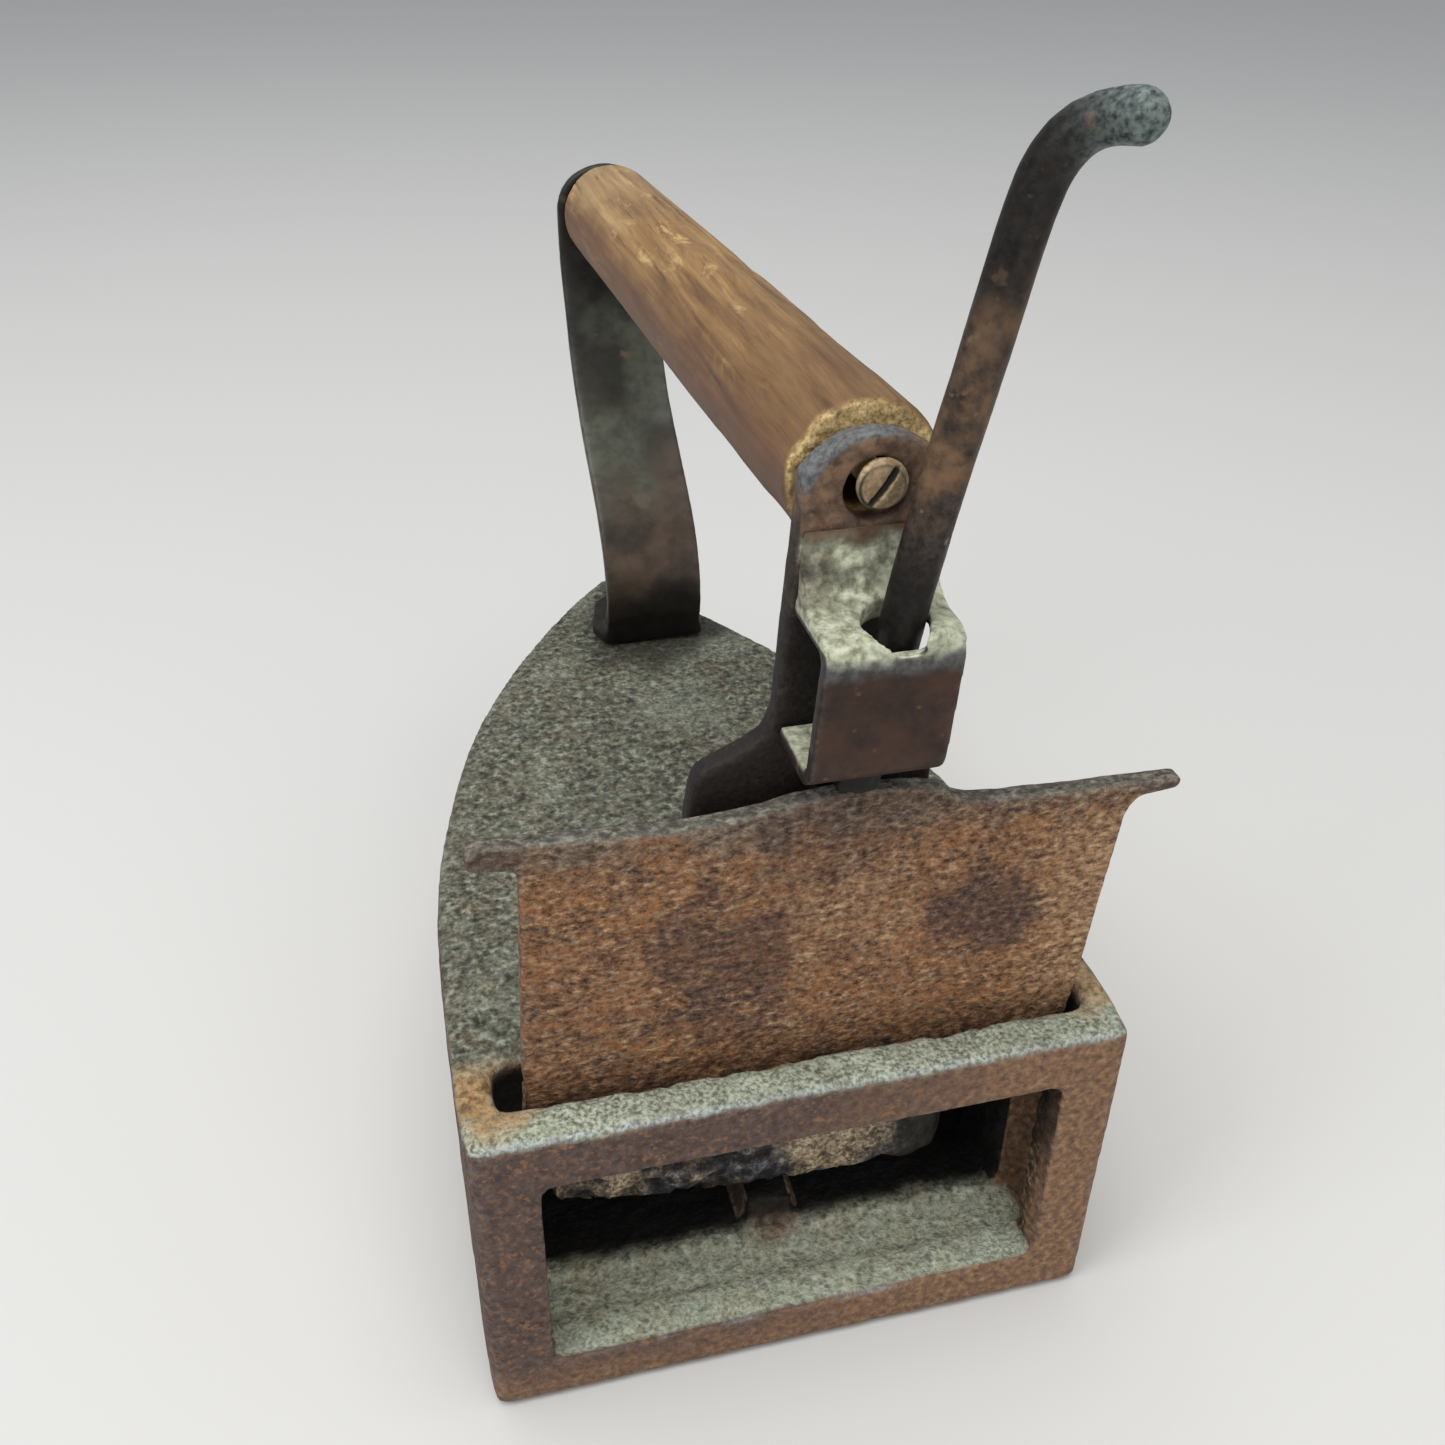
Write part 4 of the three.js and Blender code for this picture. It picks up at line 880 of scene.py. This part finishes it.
def masks_strap(P, N, info):
    n1, n2 = fbm(P, 5.0, 5, 3), fbm(P, 14.0, 6, 2)
    z = P[:, 2]
    low = step(108.0, 86.0, z + 9 * n1)
    light = step(-0.35, 0.35, n2) * step(88, 100, z + 6 * n1) * step(138, 122, z + 6 * n1)
    # painted shadow: near black at the strap's foot, below z≈76; the strap is also darker toward its top
    dark = np.maximum(0.8 * step(114, 129, z + 5 * n1), step(82, 71, z + 4 * n1))
    return {"hot": low, "extra": light, "dust": 0.3 * step(0.5, 0.9, N[:, 2]) * step(75, 68, z), "dark": dark}


strap = sculpt("v_front_strap", ["front_strap"], "iron", 0.55, shape_strap, masks_strap, smooth=2)
strap.data.materials.append(mat_iron("worn_strap", [(36, 35, 30), (46, 46, 40), (56, 56, 48), (64, 64, 55)], 0.35, 0.46, 9.0, 0.10,
                                     dust=DUST, hot=[(50, 40, 33), (86, 70, 56)], extra=[(68, 70, 61), (84, 87, 75)], metallic=0.1))

small_iron = mat_iron("rivet_iron", [(40, 31, 27), (66, 52, 44), (92, 74, 60), (104, 84, 66)], 0.4, 0.66, 1.4, 0.4)


def shape_pin(P, N, info):
    move = N * shape_small(0.12, 2.0, 10)(P, N, info)[:, None]
    move[:, 1] += np.clip(GATE_LO[1] + 2.4 - P[:, 1] - move[:, 1], 0, 3)
    rx, rz = P[:, 0] - PIN_X, P[:, 2] - PIN_Z       # its rear head would not pass the bore
    pull = np.clip(1 - 1.8 / np.maximum(np.hypot(rx, rz), 1e-6), 0, 1) * (P[:, 1] < GATE_LO[1] + 3.2)
    move[:, 0] -= rx * pull
    move[:, 2] -= rz * pull
    return move


for node, bodyname, vox in (("gate_rivet", "gate_pin", 0.25), ("upright_rivet_left", "iron", 0.3), ("upright_rivet_right", "iron", 0.3),
                            ("front_foot_screw", "iron", 0.3), ("bolt_nut", "iron", 0.3)):
    o = sculpt("v_" + node, [node], bodyname, vox, shape_pin if node == "gate_rivet" else shape_small(0.12, 2.0, len(node)), None, smooth=1)
    o.data.materials.append(small_iron)

# ------------------------------------------------------------------ stage: floor, light, camera
fm = bpy.data.meshes.new("floor")
S = 9.0
fm.from_pydata([(-S, -S, 0), (S, -S, 0), (S, S, 0), (-S, S, 0)], [], [(0, 1, 2, 3)])
floor = bpy.data.objects.new("floor", fm)
scene.collection.objects.link(floor)
fmat = bpy.data.materials.new("pale_floor")
fmat.use_nodes = True
fb = fmat.node_tree.nodes["Principled BSDF"]
fb.inputs["Base Color"].default_value = (0.62, 0.62, 0.61, 1)
fb.inputs["Roughness"].default_value = 0.7
fb.inputs["Specular IOR Level"].default_value = 0.2
fm.materials.append(fmat)

world = bpy.data.worlds.new("studio")
scene.world = world
world.use_nodes = True
bg = world.node_tree.nodes["Background"]
bg.inputs["Color"].default_value = (0.92, 0.95, 1.0, 1)
bg.inputs["Strength"].default_value = 0.45


def area(name, place, target, size, power, colour):
    light = bpy.data.lights.new(name, "AREA")
    light.shape = "SQUARE"
    light.size = size
    light.energy = power
    light.color = colour
    o = bpy.data.objects.new(name, light)
    o.location = place
    o.rotation_euler = (Vector(target) - Vector(place)).to_track_quat("-Z", "Y").to_euler()
    scene.collection.objects.link(o)


area("overhead", (-0.15, -0.15, 1.25), (0, 0, 0.05), 1.1, 13.0, (1.0, 0.97, 0.92))
area("window", (-0.9, -0.35, 0.95), (0, 0, 0.1), 0.5, 4.5, (0.92, 0.96, 1.0))
area("fill", (0.15, -1.05, 0.42), (0, -0.05, 0.03), 0.8, 3.2, (1.0, 0.96, 0.91))

cam_data = bpy.data.cameras.new("camera")
cam = bpy.data.objects.new("camera", cam_data)
scene.collection.objects.link(cam)
R = ((0.968638, -0.24816019, 0.01252733), (-0.12477916, -0.52940817, -0.83914072), (0.2148734, 0.81126045, -0.54377009))
C = (-0.05219922, -0.22441657, 0.22189039)
rot = Matrix((
    (R[0][0], -R[1][0], -R[2][0]),
    (R[0][1], -R[1][1], -R[2][1]),
    (R[0][2], -R[1][2], -R[2][2])))
cam.matrix_world = Matrix.Translation(C) @ rot.to_4x4()
cam_data.sensor_fit = "HORIZONTAL"
cam_data.sensor_width = 36.0
cam_data.lens = 36.0 * 1430.0 / 1445.0
cam_data.clip_start = 0.01
cam_data.clip_end = 50.0
scene.camera = cam
scene.view_settings.view_transform = "Standard"
